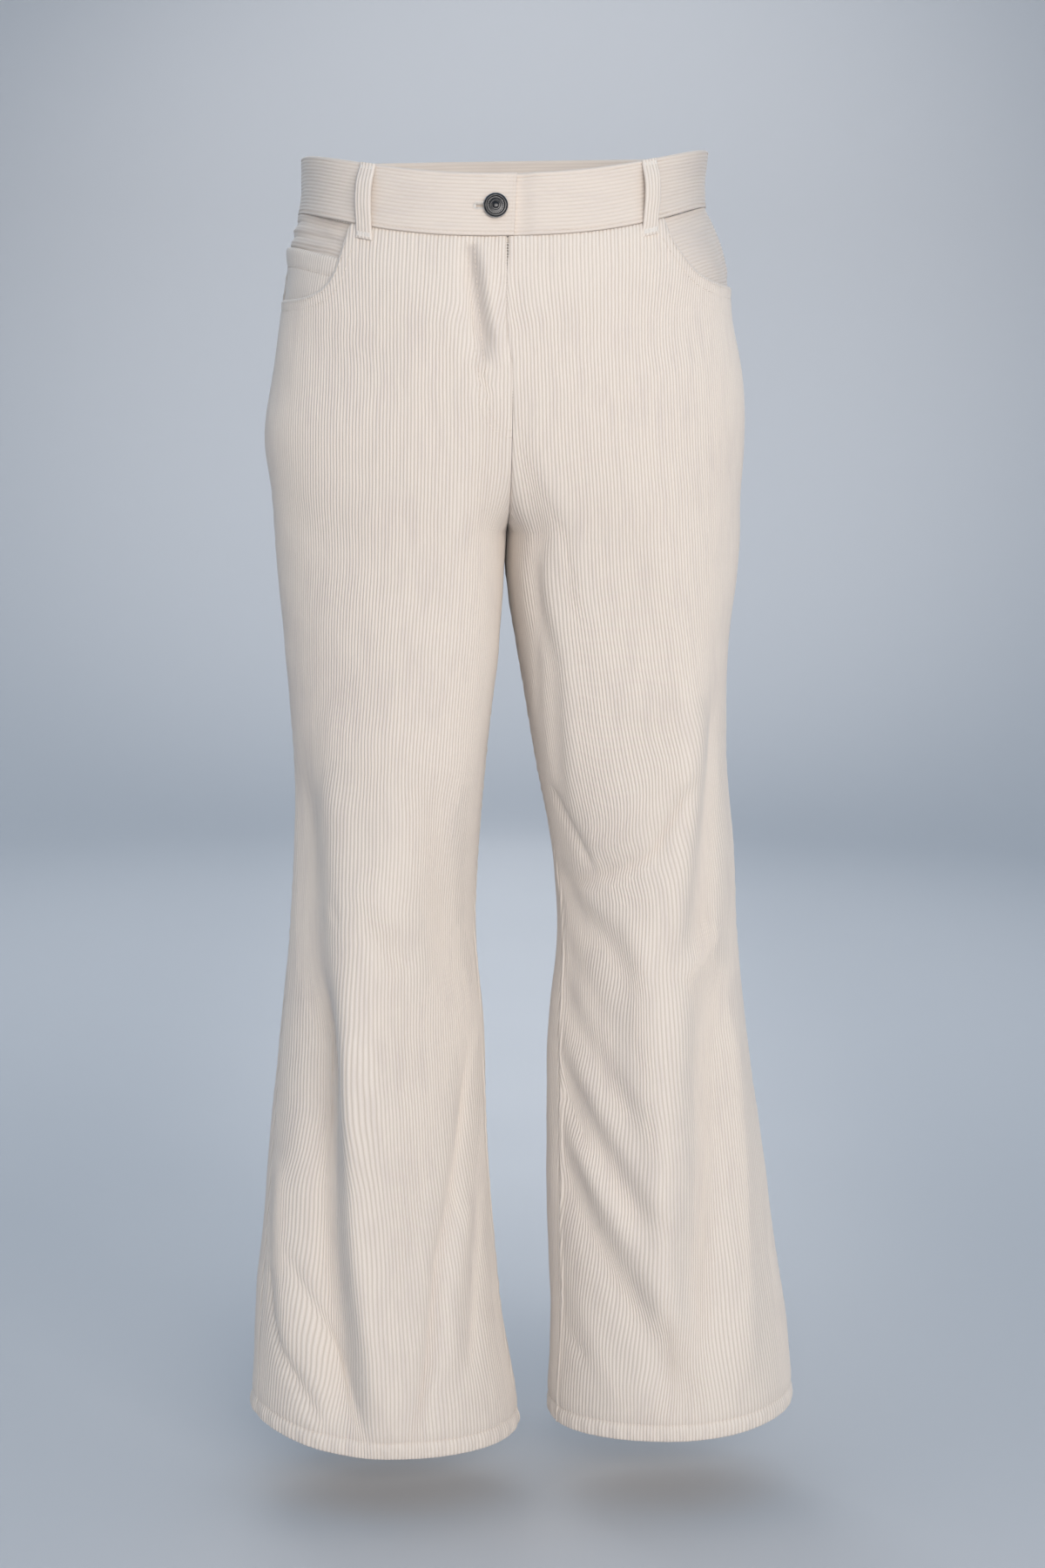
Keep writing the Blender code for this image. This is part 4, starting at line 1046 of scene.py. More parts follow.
@dataclass(frozen=True)
class ShadedHollowPatch:
    """A narrow upright patch of painted shade in a hollow where the pile also lies pressed flat, in metres
    from the origin.

    Args:
        top: height of its upper end.
        foot: height of its lower end.
        top_x: its middle at the upper end.
        foot_x: its middle at the lower end.
        reach: half its width.
        share: how much of the painted shade colour it takes.
    """

    top: float
    foot: float
    top_x: float
    foot_x: float
    reach: float
    share: float

    def lay(self, nodes: Nodes, whole: NodeSocket) -> NodeSocket:
        """Share of the painted shade colour at a place.

        Args:
            nodes: the material's nodes.
            whole: the object's own coordinates.

        Returns:
            A socket that falls softly to 0 at the patch's edges.
        """
        parts = nodes.add("ShaderNodeSeparateXYZ")
        nodes.link(whole, parts.inputs[0])
        lean = (self.foot_x - self.top_x) / (self.foot - self.top)
        line = nodes.maths("ADD", nodes.maths("MULTIPLY", parts.outputs[2], lean),
                           self.top_x - lean * self.top)
        aside = nodes.maths("DIVIDE", nodes.maths("SUBTRACT", parts.outputs[0], line), self.reach)
        square = nodes.maths("MULTIPLY", aside, aside)
        narrow = nodes.maths("EXPONENT", nodes.maths("MULTIPLY", square, -1.0))
        below = self.fall(nodes, parts.outputs[2], self.top, self.top - self.reach)
        over = self.fall(nodes, parts.outputs[2], self.foot, self.foot + 3 * self.reach)
        front = self.fall(nodes, parts.outputs[1], 0.0, -self.reach)
        ends = nodes.maths("MULTIPLY", nodes.maths("MULTIPLY", below, over), front)
        return nodes.maths("MULTIPLY", nodes.maths("MULTIPLY", narrow, ends), self.share)

    @staticmethod
    def fall(nodes: Nodes, value: NodeSocket, none: float, full: float) -> NodeSocket:
        """Share that rises softly from 0 to 1 between two values."""
        fall = nodes.add("ShaderNodeMapRange", interpolation_type="SMOOTHSTEP",
                         from_min=none, from_max=full)
        nodes.link(value, fall.inputs["Value"])
        return fall.outputs[0]


@dataclass(frozen=True)
class CorduroyFinish:
    """Cotton corduroy: pale wales, valleys darkened with painted shade, patches where the pile lies another
    way, and a patch of painted shade in a hollow where one is given.

    Args:
        name: the material's name.
        along: which of the piece's UV coordinates counts the wales, 0 or 1.
        crest: colour of the wales' crests.
        valley: colour between them, darker as painted shade in the grooves.
        crushed: colour of crushed pile.
        pressed: colour of painted shade in a hollow where the pile lies pressed flat.
        patch: where that painted shade lies.
    """

    name: str
    along: int = 0
    crest: Colour = (0.762, 0.682, 0.613, 1.0)
    # the valley colour is painted shade in the grooves between the wales
    valley: Colour = (0.548, 0.474, 0.408, 1.0)
    crushed: Colour = (0.680, 0.604, 0.558, 1.0)
    pressed: Colour = (0.50, 0.44, 0.40, 1.0)
    patch: ShadedHollowPatch | None = None
    sheen: float = 0.35
    sheen_roughness: float = 0.45

    def make(self) -> Material:
        """Build the material."""
        nodes = Nodes(self.name)
        place = nodes.add("ShaderNodeUVMap", uv_map="UVMap").outputs[0]
        parts = nodes.add("ShaderNodeSeparateXYZ")
        nodes.link(place, parts.inputs[0])
        turns = nodes.maths("MULTIPLY", parts.outputs[self.along], math.pi / (WALE * MM))
        wave = nodes.maths("ABSOLUTE", nodes.maths("SINE", turns))
        pile = nodes.maths("POWER", wave, 0.7)
        whole = nodes.add("ShaderNodeTexCoord").outputs["Object"]
        streak_shape = (5.0, 0.8, 1.0) if self.along == 0 else (0.8, 5.0, 1.0)
        streaks = nodes.noise(place, 28.0, 4.0, streak_shape)
        patches = nodes.noise(whole, 9.0, 3.0)
        lie = nodes.maths("MULTIPLY", nodes.maths("SUBTRACT", streaks, 0.46), 2.6)
        lie = nodes.maths("ADD", lie, nodes.maths("MULTIPLY", nodes.maths("SUBTRACT", patches, 0.5), 1.6))
        clamp = nodes.add("ShaderNodeClamp")
        nodes.link(lie, clamp.inputs["Value"])
        crest = nodes.mix(clamp.outputs[0], self.crest, self.crushed)
        # the valleys' darker colour paints shade into the grooves between the wales, on top of the shade of
        # the wale geometry
        colour = nodes.mix(pile, self.valley, crest)
        if self.patch:
            # painted shade of the hollow beside the fly, where the pile is also pressed flat
            colour = nodes.mix(self.patch.lay(nodes, whole), colour, self.pressed)
        fibre = nodes.noise(place, 1400.0, 2.0)
        colour = nodes.mix(nodes.maths("MULTIPLY", nodes.maths("SUBTRACT", 0.62, fibre), 0.55),
                           colour, self.valley)
        nodes.shade(base_color=colour, roughness=0.92, specular_ior_level=0.18, sheen_weight=self.sheen,
                    sheen_roughness=self.sheen_roughness, sheen_tint=(1.0, 0.97, 0.94, 1.0))
        nodes.bump(fibre, 0.35, 0.0004)
        return nodes.material


# painted shade in the hollow of the fly's placket on the right front
FLY_HOLLOW_SHADE = ShadedHollowPatch(-0.050, -0.140, -0.0300, -0.0175, 0.0046, 0.72)


@dataclass(frozen=True)
class ThreadFinish:
    """Twisted sewing thread."""

    name: str
    colour: Colour

    def make(self) -> Material:
        """Build the material."""
        nodes = Nodes(self.name)
        whole = nodes.add("ShaderNodeTexCoord").outputs["Object"]
        twist = nodes.noise(whole, 2600.0, 1.0)
        dark = tuple(0.72 * value for value in self.colour[:3]) + (1.0,)
        nodes.shade(base_color=nodes.mix(twist, self.colour, dark), roughness=0.6, sheen_weight=0.2)
        nodes.bump(twist, 0.4, 0.0002)
        return nodes.material


@dataclass(frozen=True)
class MetalFinish:
    """Worn metal: a colour, a roughness and a brighter worn colour on patches."""

    name: str
    colour: Colour
    worn: Colour
    roughness: float

    def make(self) -> Material:
        """Build the material."""
        nodes = Nodes(self.name)
        whole = nodes.add("ShaderNodeTexCoord").outputs["Object"]
        patches = nodes.noise(whole, 420.0, 4.0)
        share = nodes.maths("MULTIPLY", nodes.maths("SUBTRACT", patches, 0.45), 1.6)
        rough = nodes.maths("ADD", nodes.maths("MULTIPLY", patches, 0.2), self.roughness - 0.1)
        nodes.shade(base_color=nodes.mix(share, self.colour, self.worn), metallic=1.0, roughness=rough)
        nodes.bump(nodes.noise(whole, 1800.0, 2.0), 0.1, 0.0002)
        return nodes.material


@dataclass(frozen=True)
class StudioFinish:
    """Matt paper of the studio's sweep."""

    name: str = "studio_paper"
    colour: Colour = (0.565, 0.56, 0.568, 1.0)

    def make(self) -> Material:
        """Build the material."""
        nodes = Nodes(self.name)
        nodes.shade(base_color=self.colour, roughness=0.9, specular_ior_level=0.1)
        return nodes.material


def hung(finish: CorduroyFinish | ThreadFinish | MetalFinish) -> Material:
    """Field of a wardrobe that makes its finish when the wardrobe is filled."""
    return field(default_factory=finish.make)


@dataclass
class Wardrobe:
    """The finishes that the pieces share."""

    panel: Material = hung(CorduroyFinish("corduroy"))
    # the right front, with painted shade in the hollow by the fly
    fly_panel_shaded: Material = hung(CorduroyFinish("corduroy_fly_shaded", patch=FLY_HOLLOW_SHADE))
    # band corduroy; its valley colour is painted shade in the grooves
    band: Material = hung(CorduroyFinish(
        "corduroy_band", 1, (0.708, 0.624, 0.556, 1.0), (0.618, 0.536, 0.470, 1.0),
        (0.640, 0.564, 0.520, 1.0)))
    thread: Material = hung(ThreadFinish("thread", (0.80, 0.70, 0.61, 1.0)))
    tack: Material = hung(ThreadFinish("tack_thread", (0.86, 0.80, 0.74, 1.0)))
    tape: Material = hung(ThreadFinish("zip_tape", (0.62, 0.54, 0.46, 1.0)))
    gunmetal: Material = hung(MetalFinish(
        "gunmetal", (0.046, 0.046, 0.048, 1.0), (0.115, 0.112, 0.11, 1.0), 0.32))
    rim: Material = hung(MetalFinish(
        "button_rim", (0.50, 0.49, 0.48, 1.0), (0.68, 0.67, 0.66, 1.0), 0.26))
    teeth: Material = hung(MetalFinish(
        "zip_teeth", (0.16, 0.15, 0.14, 1.0), (0.3, 0.29, 0.27, 1.0), 0.4))


# --- sewing

@dataclass
class Stitching:
    """A row of stitches along a line on the cloth.

    Args:
        name: the piece's name.
        length: length of a stitch.
        gap: distance between two stitches.
        thick: half the thread's width.
    """

    name: str
    length: float = 2.5
    gap: float = 0.8
    thick: float = 0.28

    def template(self) -> tuple[np.ndarray, list[tuple[int, ...]]]:
        """Points and faces of one stitch, along +X with its back towards +Z."""
        deselect_all()
        bpy.ops.mesh.primitive_uv_sphere_add(segments=8, ring_count=6, radius=1.0,
                                             rotation=(0.0, math.pi / 2, 0.0))
        bpy.ops.object.transform_apply(location=False, rotation=True, scale=False)
        points, faces = taken(bpy.context.object)
        points[:, 0] = np.sign(points[:, 0]) * np.abs(points[:, 0]) ** 0.7 * self.length / 2
        points[:, 1] *= self.thick
        points[:, 2] *= self.thick
        points[:, 2] -= 0.5 * self.thick * np.abs(points[:, 0] / (self.length / 2)) ** 2
        return points, faces

    def sew(self, lines: Sequence[Pair], finish: Material) -> None:
        """Sew along lines.

        Args:
            lines: for each line its points and the cloth's normals there, in millimetres.
            finish: the thread.
        """
        base, faces = self.template()
        stitches = []
        for points, normals in lines:
            arc = np.concatenate([[0.0], np.cumsum(np.linalg.norm(np.diff(points, axis=0), axis=1))])
            count = max(int(arc[-1] / (self.length + self.gap)), 1)
            places = (np.arange(count) + 0.5) * arc[-1] / count
            middle = np.stack([np.interp(places, arc, points[:, k]) for k in range(3)], -1)
            ahead = np.stack([np.interp(places + 0.6, arc, points[:, k])
                              - np.interp(places - 0.6, arc, points[:, k]) for k in range(3)], -1)
            normal = np.stack([np.interp(places, arc, normals[:, k]) for k in range(3)], -1)
            ahead /= np.linalg.norm(ahead, axis=1, keepdims=True)
            aside = np.cross(normal, ahead)
            aside /= np.linalg.norm(aside, axis=1, keepdims=True)
            up = np.cross(ahead, aside)
            for k in range(count):
                lean = 0.07 * math.sin(7.3 * k + len(lines))
                turned = ahead[k] + aside[k] * lean
                stitches.append((middle[k] + base[:, :1] * turned + base[:, 1:2] * aside[k]
                                 + base[:, 2:] * up[k]) * MM)
        piece = set_out(self.name, stitches, faces)
        piece.data.shade_smooth()
        dress(piece, finish, "corduroy")


# --- panels

@dataclass
class TrouserPanel:
    """A front or a back, from the waist seam to the turned-up hem.

    Args:
        name: the piece's name, which is also its node.
        side: the leg's form.
        half: front or back.
        scoop: the pocket mouth.
        creases: its creases; on a back, places are counted from the back's grain line.
        cut: width and length of the cloth it is cut from, in metres; not used.
        area: its flat area in square metres; not used.
    """

    name: str
    side: LegSurface
    half: Half
    scoop: Scoop
    creases: Sequence[Crease]
    cut: tuple[float, float]
    area: float

    def rows(self) -> np.ndarray:
        """Plain heights of the rows, close together where the hem turns up."""
        hem = np.array([16.0, 14.0, 13.2, 12.4, 11.0, 8.5, 6.0, 3.6, 2.0, 1.0, 0.35, 0.0])
        count = round((SEAM_SIDE_Z - HEM_PLAIN_Z - 22.0) / ROW_STEP)
        body = np.linspace(SEAM_SIDE_Z - 2.4, HEM_PLAIN_Z + 22.0, count)
        return np.concatenate([[SEAM_SIDE_Z, SEAM_SIDE_Z - 1.0], body, HEM_PLAIN_Z + hem])

    def limits(self, plain: np.ndarray) -> Pair:
        """Places across of the centre or inner edge and of the outer edge, on rows."""
        out = self.side.seam("out", plain)
        if self.half is Half.BACK:
            return out + SEAM_GAP / 2, self.side.seam("back_in", plain) - SEAM_GAP / 2
        return self.side.seam("front_in", plain) + self.centre_gap(plain), out - SEAM_GAP / 2

    def centre_gap(self, plain: np.ndarray) -> np.ndarray:
        """How far the front's centre edge stands off the centre line."""
        edge = fly_edge_x(plain)
        if self.side.sign < 0:
            gap = -edge + FLY_GAP / 2
        else:
            gap = edge + FLY_GAP / 2 + ZIP_GLIMPSE * ease((plain - ZIP_GLIMPSE_Z) / ZIP_GLIMPSE_RUN)
        return np.where(plain < FLY_END_Z, SEAM_GAP / 2, gap)

    def grain(self, plain: np.ndarray) -> np.ndarray:
        """Place across of the panel's own grain line."""
        if self.half is Half.BACK:
            return self.side.seam("back_grain", plain)
        return np.zeros_like(plain)

    def drift(self, wale: np.ndarray, plain: np.ndarray) -> np.ndarray:
        """How far the wales wander off their straight run, in millimetres."""
        lean = WAIST_LEAN * ease((plain - WAIST_LEAN_Z) / WAIST_LEAN_RUN) * np.clip(wale / 60.0, -1.0, 1.0)
        fan = FAN * np.clip((FAN_START_Z - plain) / 200.0, 0.0, 1.2) ** 1.5
        fan = fan * np.sign(wale) * ease((np.abs(wale) - 25.0) / 80.0)
        wander = 0.55 * swell(wale, plain, 95.0, 1.3) + 0.18 * swell(wale, plain, 31.0, 2.7)
        drawn = sum(crease.draw(wale + lean + fan, plain) for crease in self.creases)
        return lean + fan + wander + drawn

    def scooped(self, wale: np.ndarray, plain: np.ndarray) -> np.ndarray:
        """Rows held below the pocket mouth's edge, and gathered just under it.

        Args:
            wale: places of the columns.
            plain: plain heights of the rows.

        Returns:
            The rows' plain heights there.
        """
        if self.half is Half.BACK:
            return plain
        above = np.full(wale.shape[1], SEAM_SIDE_Z)
        below = above - self.scoop.height
        for _ in range(16):
            edge = (above + below) / 2
            from_seam = self.limits(edge)[1] - wale[0] - self.drift(wale[0], edge)
            over = edge > SEAM_SIDE_Z - self.scoop.top(from_seam)
            above, below = np.where(over, edge, above), np.where(over, below, edge)
        free = edge - SCOOP_FREE
        share = np.clip((plain - free) / (SEAM_SIDE_Z - free), 0.0, 1.0)
        gathered = 1.0 - (1.0 - share) ** ((SEAM_SIDE_Z - free) / SCOOP_FREE)
        return np.where(plain > free, free + SCOOP_FREE * gathered, plain)

    def relief(self, own: np.ndarray, across: np.ndarray, z: np.ndarray,
               plain: np.ndarray) -> np.ndarray:
        """Height of creases, puckers and unevenness over the plain form.

        Args:
            own: places from the panel's own grain line.
            across: places across, counted from the front's grain line.
            z: heights.
            plain: plain heights of the rows.

        Returns:
            Heights in millimetres.
        """
        low, high = self.limits(plain)
        near = np.minimum(across - low, high - across)
        total = np.zeros_like(own)
        for crease in self.creases:
            total += crease.height(own, z)
        total += 0.75 * swell(own, z, 118.0, 0.4 + self.side.sign) + 0.28 * swell(own, z, 43.0, 3.1)
        total *= ease((near + 3.0) / 16.0)
        outseam = high - across if self.half is Half.FRONT else across - low
        inseam = across - low if self.half is Half.FRONT else high - across
        beat = np.sin(2 * math.pi * z / 13.0 + 2.3 * np.sin(z / 41.0)) * (0.7 + 0.3 * np.sin(z / 23.0))
        pulled = 0.32 + 0.35 * ease((-640.0 - z) / 200.0)
        total += pulled * beat * bell(outseam, 8.0)
        total += 0.7 * pulled * np.roll(beat, 3, 0) * bell(inseam, 7.0) * (z < FORK_Z)
        over_hem = plain - HEM_PLAIN_Z
        tucked = bell(over_hem - HEM_DEPTH, 2.2)
        rope = np.sin(2 * math.pi * own / 14.0 + 1.5 * np.sin(own / 31.0))
        rolled = bell(over_hem - 5.5, 4.6)
        total += -0.95 * tucked + (HEM_ROLL + HEM_ROPE * rope) * rolled
        gather = np.sin(2 * math.pi * own / 7.6 + 1.1 * np.sin(own / 19.0))
        total += 0.22 * gather * np.exp((plain - SEAM_SIDE_Z) / 14.0)
        return total

    def edges(self, across: np.ndarray, plain: np.ndarray) -> Pair:
        """How the cloth turns in at its edges, and how much of the pile's height is left there.

        Args:
            across: places across, counted from the front's grain line.
            plain: plain heights of the rows.

        Returns:
            Heights in millimetres and shares.
        """
        low, high = self.limits(plain)
        near = np.maximum(np.minimum(across - low, high - across), 0.0)
        drop = -0.95 * bell(near, 1.3)
        pile = 1.0 - 0.85 * bell(near, 1.5)
        top = np.maximum(SEAM_SIDE_Z - plain, 0.0)
        drop = drop - 0.9 * bell(top, 1.4)
        if self.half is Half.FRONT:
            below_fork = ease((FORK_Z - 18.0 - plain) / 30.0)
            inseam = across - low
            drop = drop + below_fork * (WELT * bell(inseam - WELT_PLACE, WELT_WIDTH)
                                        - WELT_DITCH * bell(inseam - WELT_DITCH_PLACE, 1.0))
            gap = (self.scoop.nearness(np.maximum(high - across, 0.0), top) - 1.0) * SCOOP_SIZE
            gap = np.maximum(gap, 0.0)
            drop = drop + 0.85 * bell(gap, 5.0) - 1.5 * bell(gap, 0.9)
            pile = pile * (1.0 - 0.8 * bell(gap, 1.2))
            stitched = sum(bell(gap - row, 0.9) for row in SCOOP_ROWS)
            drop = drop - 0.30 * stitched
        return drop, pile

    @staticmethod
    def turned(over_hem: np.ndarray) -> np.ndarray:
        """How far the cloth has rolled inwards round the hem's fold."""
        radius = HEM_CLOTH / 2
        rolled = np.clip(radius - over_hem, 0.0, radius)
        return -(radius - np.sqrt(radius ** 2 - rolled ** 2))

    def face(self, wales: np.ndarray, inner: bool) -> Pair:
        """Points and cloth places of the outer or the inner face.

        Args:
            wales: distances of the columns from the grain line.
            inner: the inner face, which is plain.

        Returns:
            Points and places on the cloth, in millimetres.
        """
        wale, plain = np.meshgrid(wales, self.rows())
        plain = self.scooped(wale, plain)
        low, high = self.limits(plain)
        laid = wale + self.drift(wale, plain) + self.grain(plain)
        across = np.clip(laid, low, high)
        own = across - self.grain(plain)
        z = self.side.true_height(across, plain)
        relief = self.relief(own, across, z, plain)
        drop, pile = self.edges(across, plain)
        over_hem = plain - HEM_PLAIN_Z
        if inner:
            wall = np.where(over_hem < HEM_DEPTH, HEM_CLOTH, CLOTH)
            out = relief - wall - self.turned(over_hem)
        else:
            for crease in self.creases:
                if crease.pressed:
                    pile = pile * crease.press(own, z)
            rise = np.where(laid == across, wale_height(wale), -WALE_MEAN)
            out = relief + drop + pile * rise + self.turned(over_hem)
        points = self.side.points(across, z, out)
        sign = self.side.sign
        centred = across <= low + 1e-6 if self.half is Half.FRONT else across >= high - 1e-6
        gap = self.centre_gap(plain) if self.half is Half.FRONT else SEAM_GAP / 2
        held = np.where(centred, gap, np.maximum(sign * points[..., 0], gap))
        points[..., 0] = np.where(plain > FORK_Z - 1.0, sign * held, points[..., 0])
        return points, np.stack([wale, z], -1)

    def build(self, finish: Material) -> None:
        """Lay the panel's cloth.

        Args:
            finish: its material.
        """
        low, high = self.limits(self.rows())
        grain = self.grain(self.rows())
        first = math.floor(((low - grain).min() - 12.0) / WALE)
        last = math.ceil(((high - grain).max() + 12.0) / WALE)
        fine = np.arange(first * len(WALE_SHAPE), last * len(WALE_SHAPE) + 1) * WALE / len(WALE_SHAPE)
        coarse = np.arange(first, last + 1) * WALE
        outer, cloth = self.face(fine, inner=False)
        inner, _ = self.face(coarse, inner=True)
        drawn = np.rint(np.arange(len(fine)) / len(WALE_SHAPE)).astype(int)
        outer = np.concatenate([inner[:1, drawn], outer, inner[-1:, drawn]])
        inner, cloth = (np.concatenate([rows[:1], rows, rows[-1:]]) for rows in (inner, cloth))
        piece = lay_shell(self.name + "_cloth", outer, inner, cloth)
        dress(piece, finish, "corduroy", self.name)

    def on_cloth(self, across: np.ndarray, plain: np.ndarray,
                 out: float) -> Pair:
        """Points just over the panel's creased face, and normals there, for sewing."""
        z = self.side.true_height(across, plain)
        own = across - self.grain(plain)
        relief = self.relief(own, across, z, plain)
        drop, _ = self.edges(across, plain)
        place, normal = self.side.faced(across, z)
        return place + normal * (relief + drop + out)[:, None], normal


# --- waist

class Waist:
    """The waistband's path round both sides, as a run from the centre front."""

    def __init__(self, right: LegSurface, left: LegSurface) -> None:
        """Measure the path."""
        self.right, self.left = right, left
        self.ends = [(side.seam_place("front_in", SEAM_SIDE_Z), side.seam_place("back_in", SEAM_SIDE_Z))
                     for side in (right, left)]
        self.half = [end - start for start, end in self.ends]
        self.total = sum(self.half)

    def faced(self, run: np.ndarray, height: np.ndarray) -> Pair:
        """Points of the cloth's face at heights over the waist seam, and normals there.

        Args:
            run: distances along the band from its lapped end.
            height: heights over the waist seam.

        Returns:
            Points in millimetres and normals.
        """
        run, height = np.broadcast_arrays(np.asarray(run, float), np.asarray(height, float))
        run = np.where(run > self.total, run - self.total, run)
        place, normal = np.empty(run.shape + (3,)), np.empty(run.shape + (3,))
        on_right = run <= self.half[0]
        for mask, side, across in (
                (on_right, self.right, self.ends[0][0] + run),
                (~on_right, self.left, self.ends[1][1] - (run - self.half[0]))):
            a, h = across[mask], height[mask]
            z = SEAM_SIDE_Z + h
            for _ in range(4):
                x, y = side.plan(a, z)
                z = waist_seam_z(x * side.sign, y) + h
            place[mask], normal[mask] = side.faced(a, z)
        return place, normal

    def points(self, run: np.ndarray, height: np.ndarray, out: np.ndarray | float) -> np.ndarray:
        """Points moved out from the cloth's face."""
        return raised(self.faced(run, height), out)


@dataclass
class Waistband:
    """The folded strip round the waist, its right end lapping over the left."""

    waist: Waist
    button_run: float = 14.0
    button_height: float = 19.2
    slit: tuple[float, float] = (17.0, 28.0)    # run of the buttonhole's slit
    column_step: float = 5.0

    def runs(self) -> np.ndarray:
        """Runs of the columns, closer at the ends and round the buttonhole."""
        total = self.waist.total
        start = np.array([0.0, 0.5, 1.1, 2.0, 3.2, 4.6, 6.0, 8.0, 10.0, 12.0, 14.0, 16.0])
        hole = np.arange(17.0, 31.0, 0.55)
        plain = np.arange(32.0, total - UNDER_START - 2.0, self.column_step)
        tail = total + np.array([-16.0, -14.0, -12.0, -10.0, -8.0, -6.0, -4.0, -2.0, 0.0, 3.0, 8.0,
                                 14.0, 20.0, 26.0, 32.0, UNDERLAP])
        return np.concatenate([start, hole, plain, tail])

    def face_out(self, run: np.ndarray) -> np.ndarray:
        """Offset of the band's face: its left end dips under the right end."""
        under = ease((run - (self.waist.total - UNDER_START)) / (UNDER_START - 3.0))
        return BAND_PROUD - under * (BAND_WALL + SEAM_GAP)

    def relief(self, run: np.ndarray, height: np.ndarray) -> np.ndarray:
        """Waves, the lapped end's stitched rows and the buttonhole's slit.

        Args:
            run: distances along the band from its lapped end.
            height: heights over the waist seam.

        Returns:
            Heights in millimetres.
        """
        wave = 0.45 * swell(run, height, 74.0, 2.2) + 0.2 * swell(run, height * 2.0, 33.0, 0.9)
        wave = wave * np.sin(np.clip(height / BAND_HEIGHT, 0, 1) * math.pi) ** 0.5
        end_rows = sum(bell(run - row, 0.7) for row in END_ROWS)
        edge_row = sum(bell(height - row, 0.8) for row in (BAND_ROW, BAND_HEIGHT - 2.6))
        rolled = -1.0 * bell(run, 0.7)
        in_slit = ease((run - self.slit[0] + 1.0) / 1.5) * ease((self.slit[1] + 0.6 - run) / 1.2)
        slit = -2.4 * in_slit * bell(height - self.button_height, 0.62)
        welt = 0.35 * in_slit * bell(np.abs(height - self.button_height) - 1.9, 0.9)
        return wave - 0.28 * end_rows - 0.26 * edge_row + rolled + slit + welt

    def section(self) -> tuple[np.ndarray, np.ndarray, np.ndarray]:
        """Heights, offsets and pile of the band's section, once round it."""
        step = WALE / len(WALE_SHAPE)
        up = np.arange(0.6, BAND_HEIGHT - 1.2, step)
        low = np.array([SEAM_GAP / 2])
        roll = np.radians([20.0, 50.0, 80.0, 110.0, 140.0, 165.0])
        radius = BAND_WALL / 2
        top = BAND_HEIGHT - radius
        heights = np.concatenate([low, up, top + radius * np.sin(roll), np.linspace(top, 1.5, 6),
                                  [SEAM_GAP / 2], low])
        outs = np.concatenate([[-0.75], np.zeros(len(up)), -radius + radius * np.cos(roll),
                               np.full(6, -BAND_WALL), [-BAND_WALL + 0.4], [-0.75]])
        pile = np.concatenate([[0.2], np.ones(len(up)), np.linspace(0.7, 0.0, len(roll)),
                               np.zeros(7), [0.2]])
        return heights, outs, pile

    def build(self, finish: Material) -> None:
        """Lay the band.

        Args:
            finish: its material.
        """
        heights, outs, pile = self.section()
        run, height = np.meshgrid(self.runs(), heights, indexing="ij")
        outer = (outs > -BAND_WALL / 2)[None, :]
        slack = 0.5 * swell(run, height, 60.0, 4.2)
        out = (self.face_out(run) + outs[None, :] + pile[None, :] * wale_height(height + slack)
               + np.where(outer, self.relief(run, height), 0.4 * swell(run, height, 74.0, 2.2)))
        points = self.waist.points(run, height, out)
        uv = np.stack([run, height + slack], -1) * MM
        piece = lay_cloth("waistband_cloth", points, uv)
        dress(piece, finish, "corduroy_band", "waistband")

    def line(self, runs: np.ndarray, heights: np.ndarray, out: float) -> Pair:
        """Points over the band's face along a line, and normals, for sewing."""
        place, normal = self.waist.faced(runs, heights)
        offset = self.face_out(runs) + self.relief(runs, heights) + out
        return place + normal * offset[:, None], normal


class Rise(NamedTuple):
    """A height over the waist seam and a belt loop's offset there."""

    z: float
    out: float


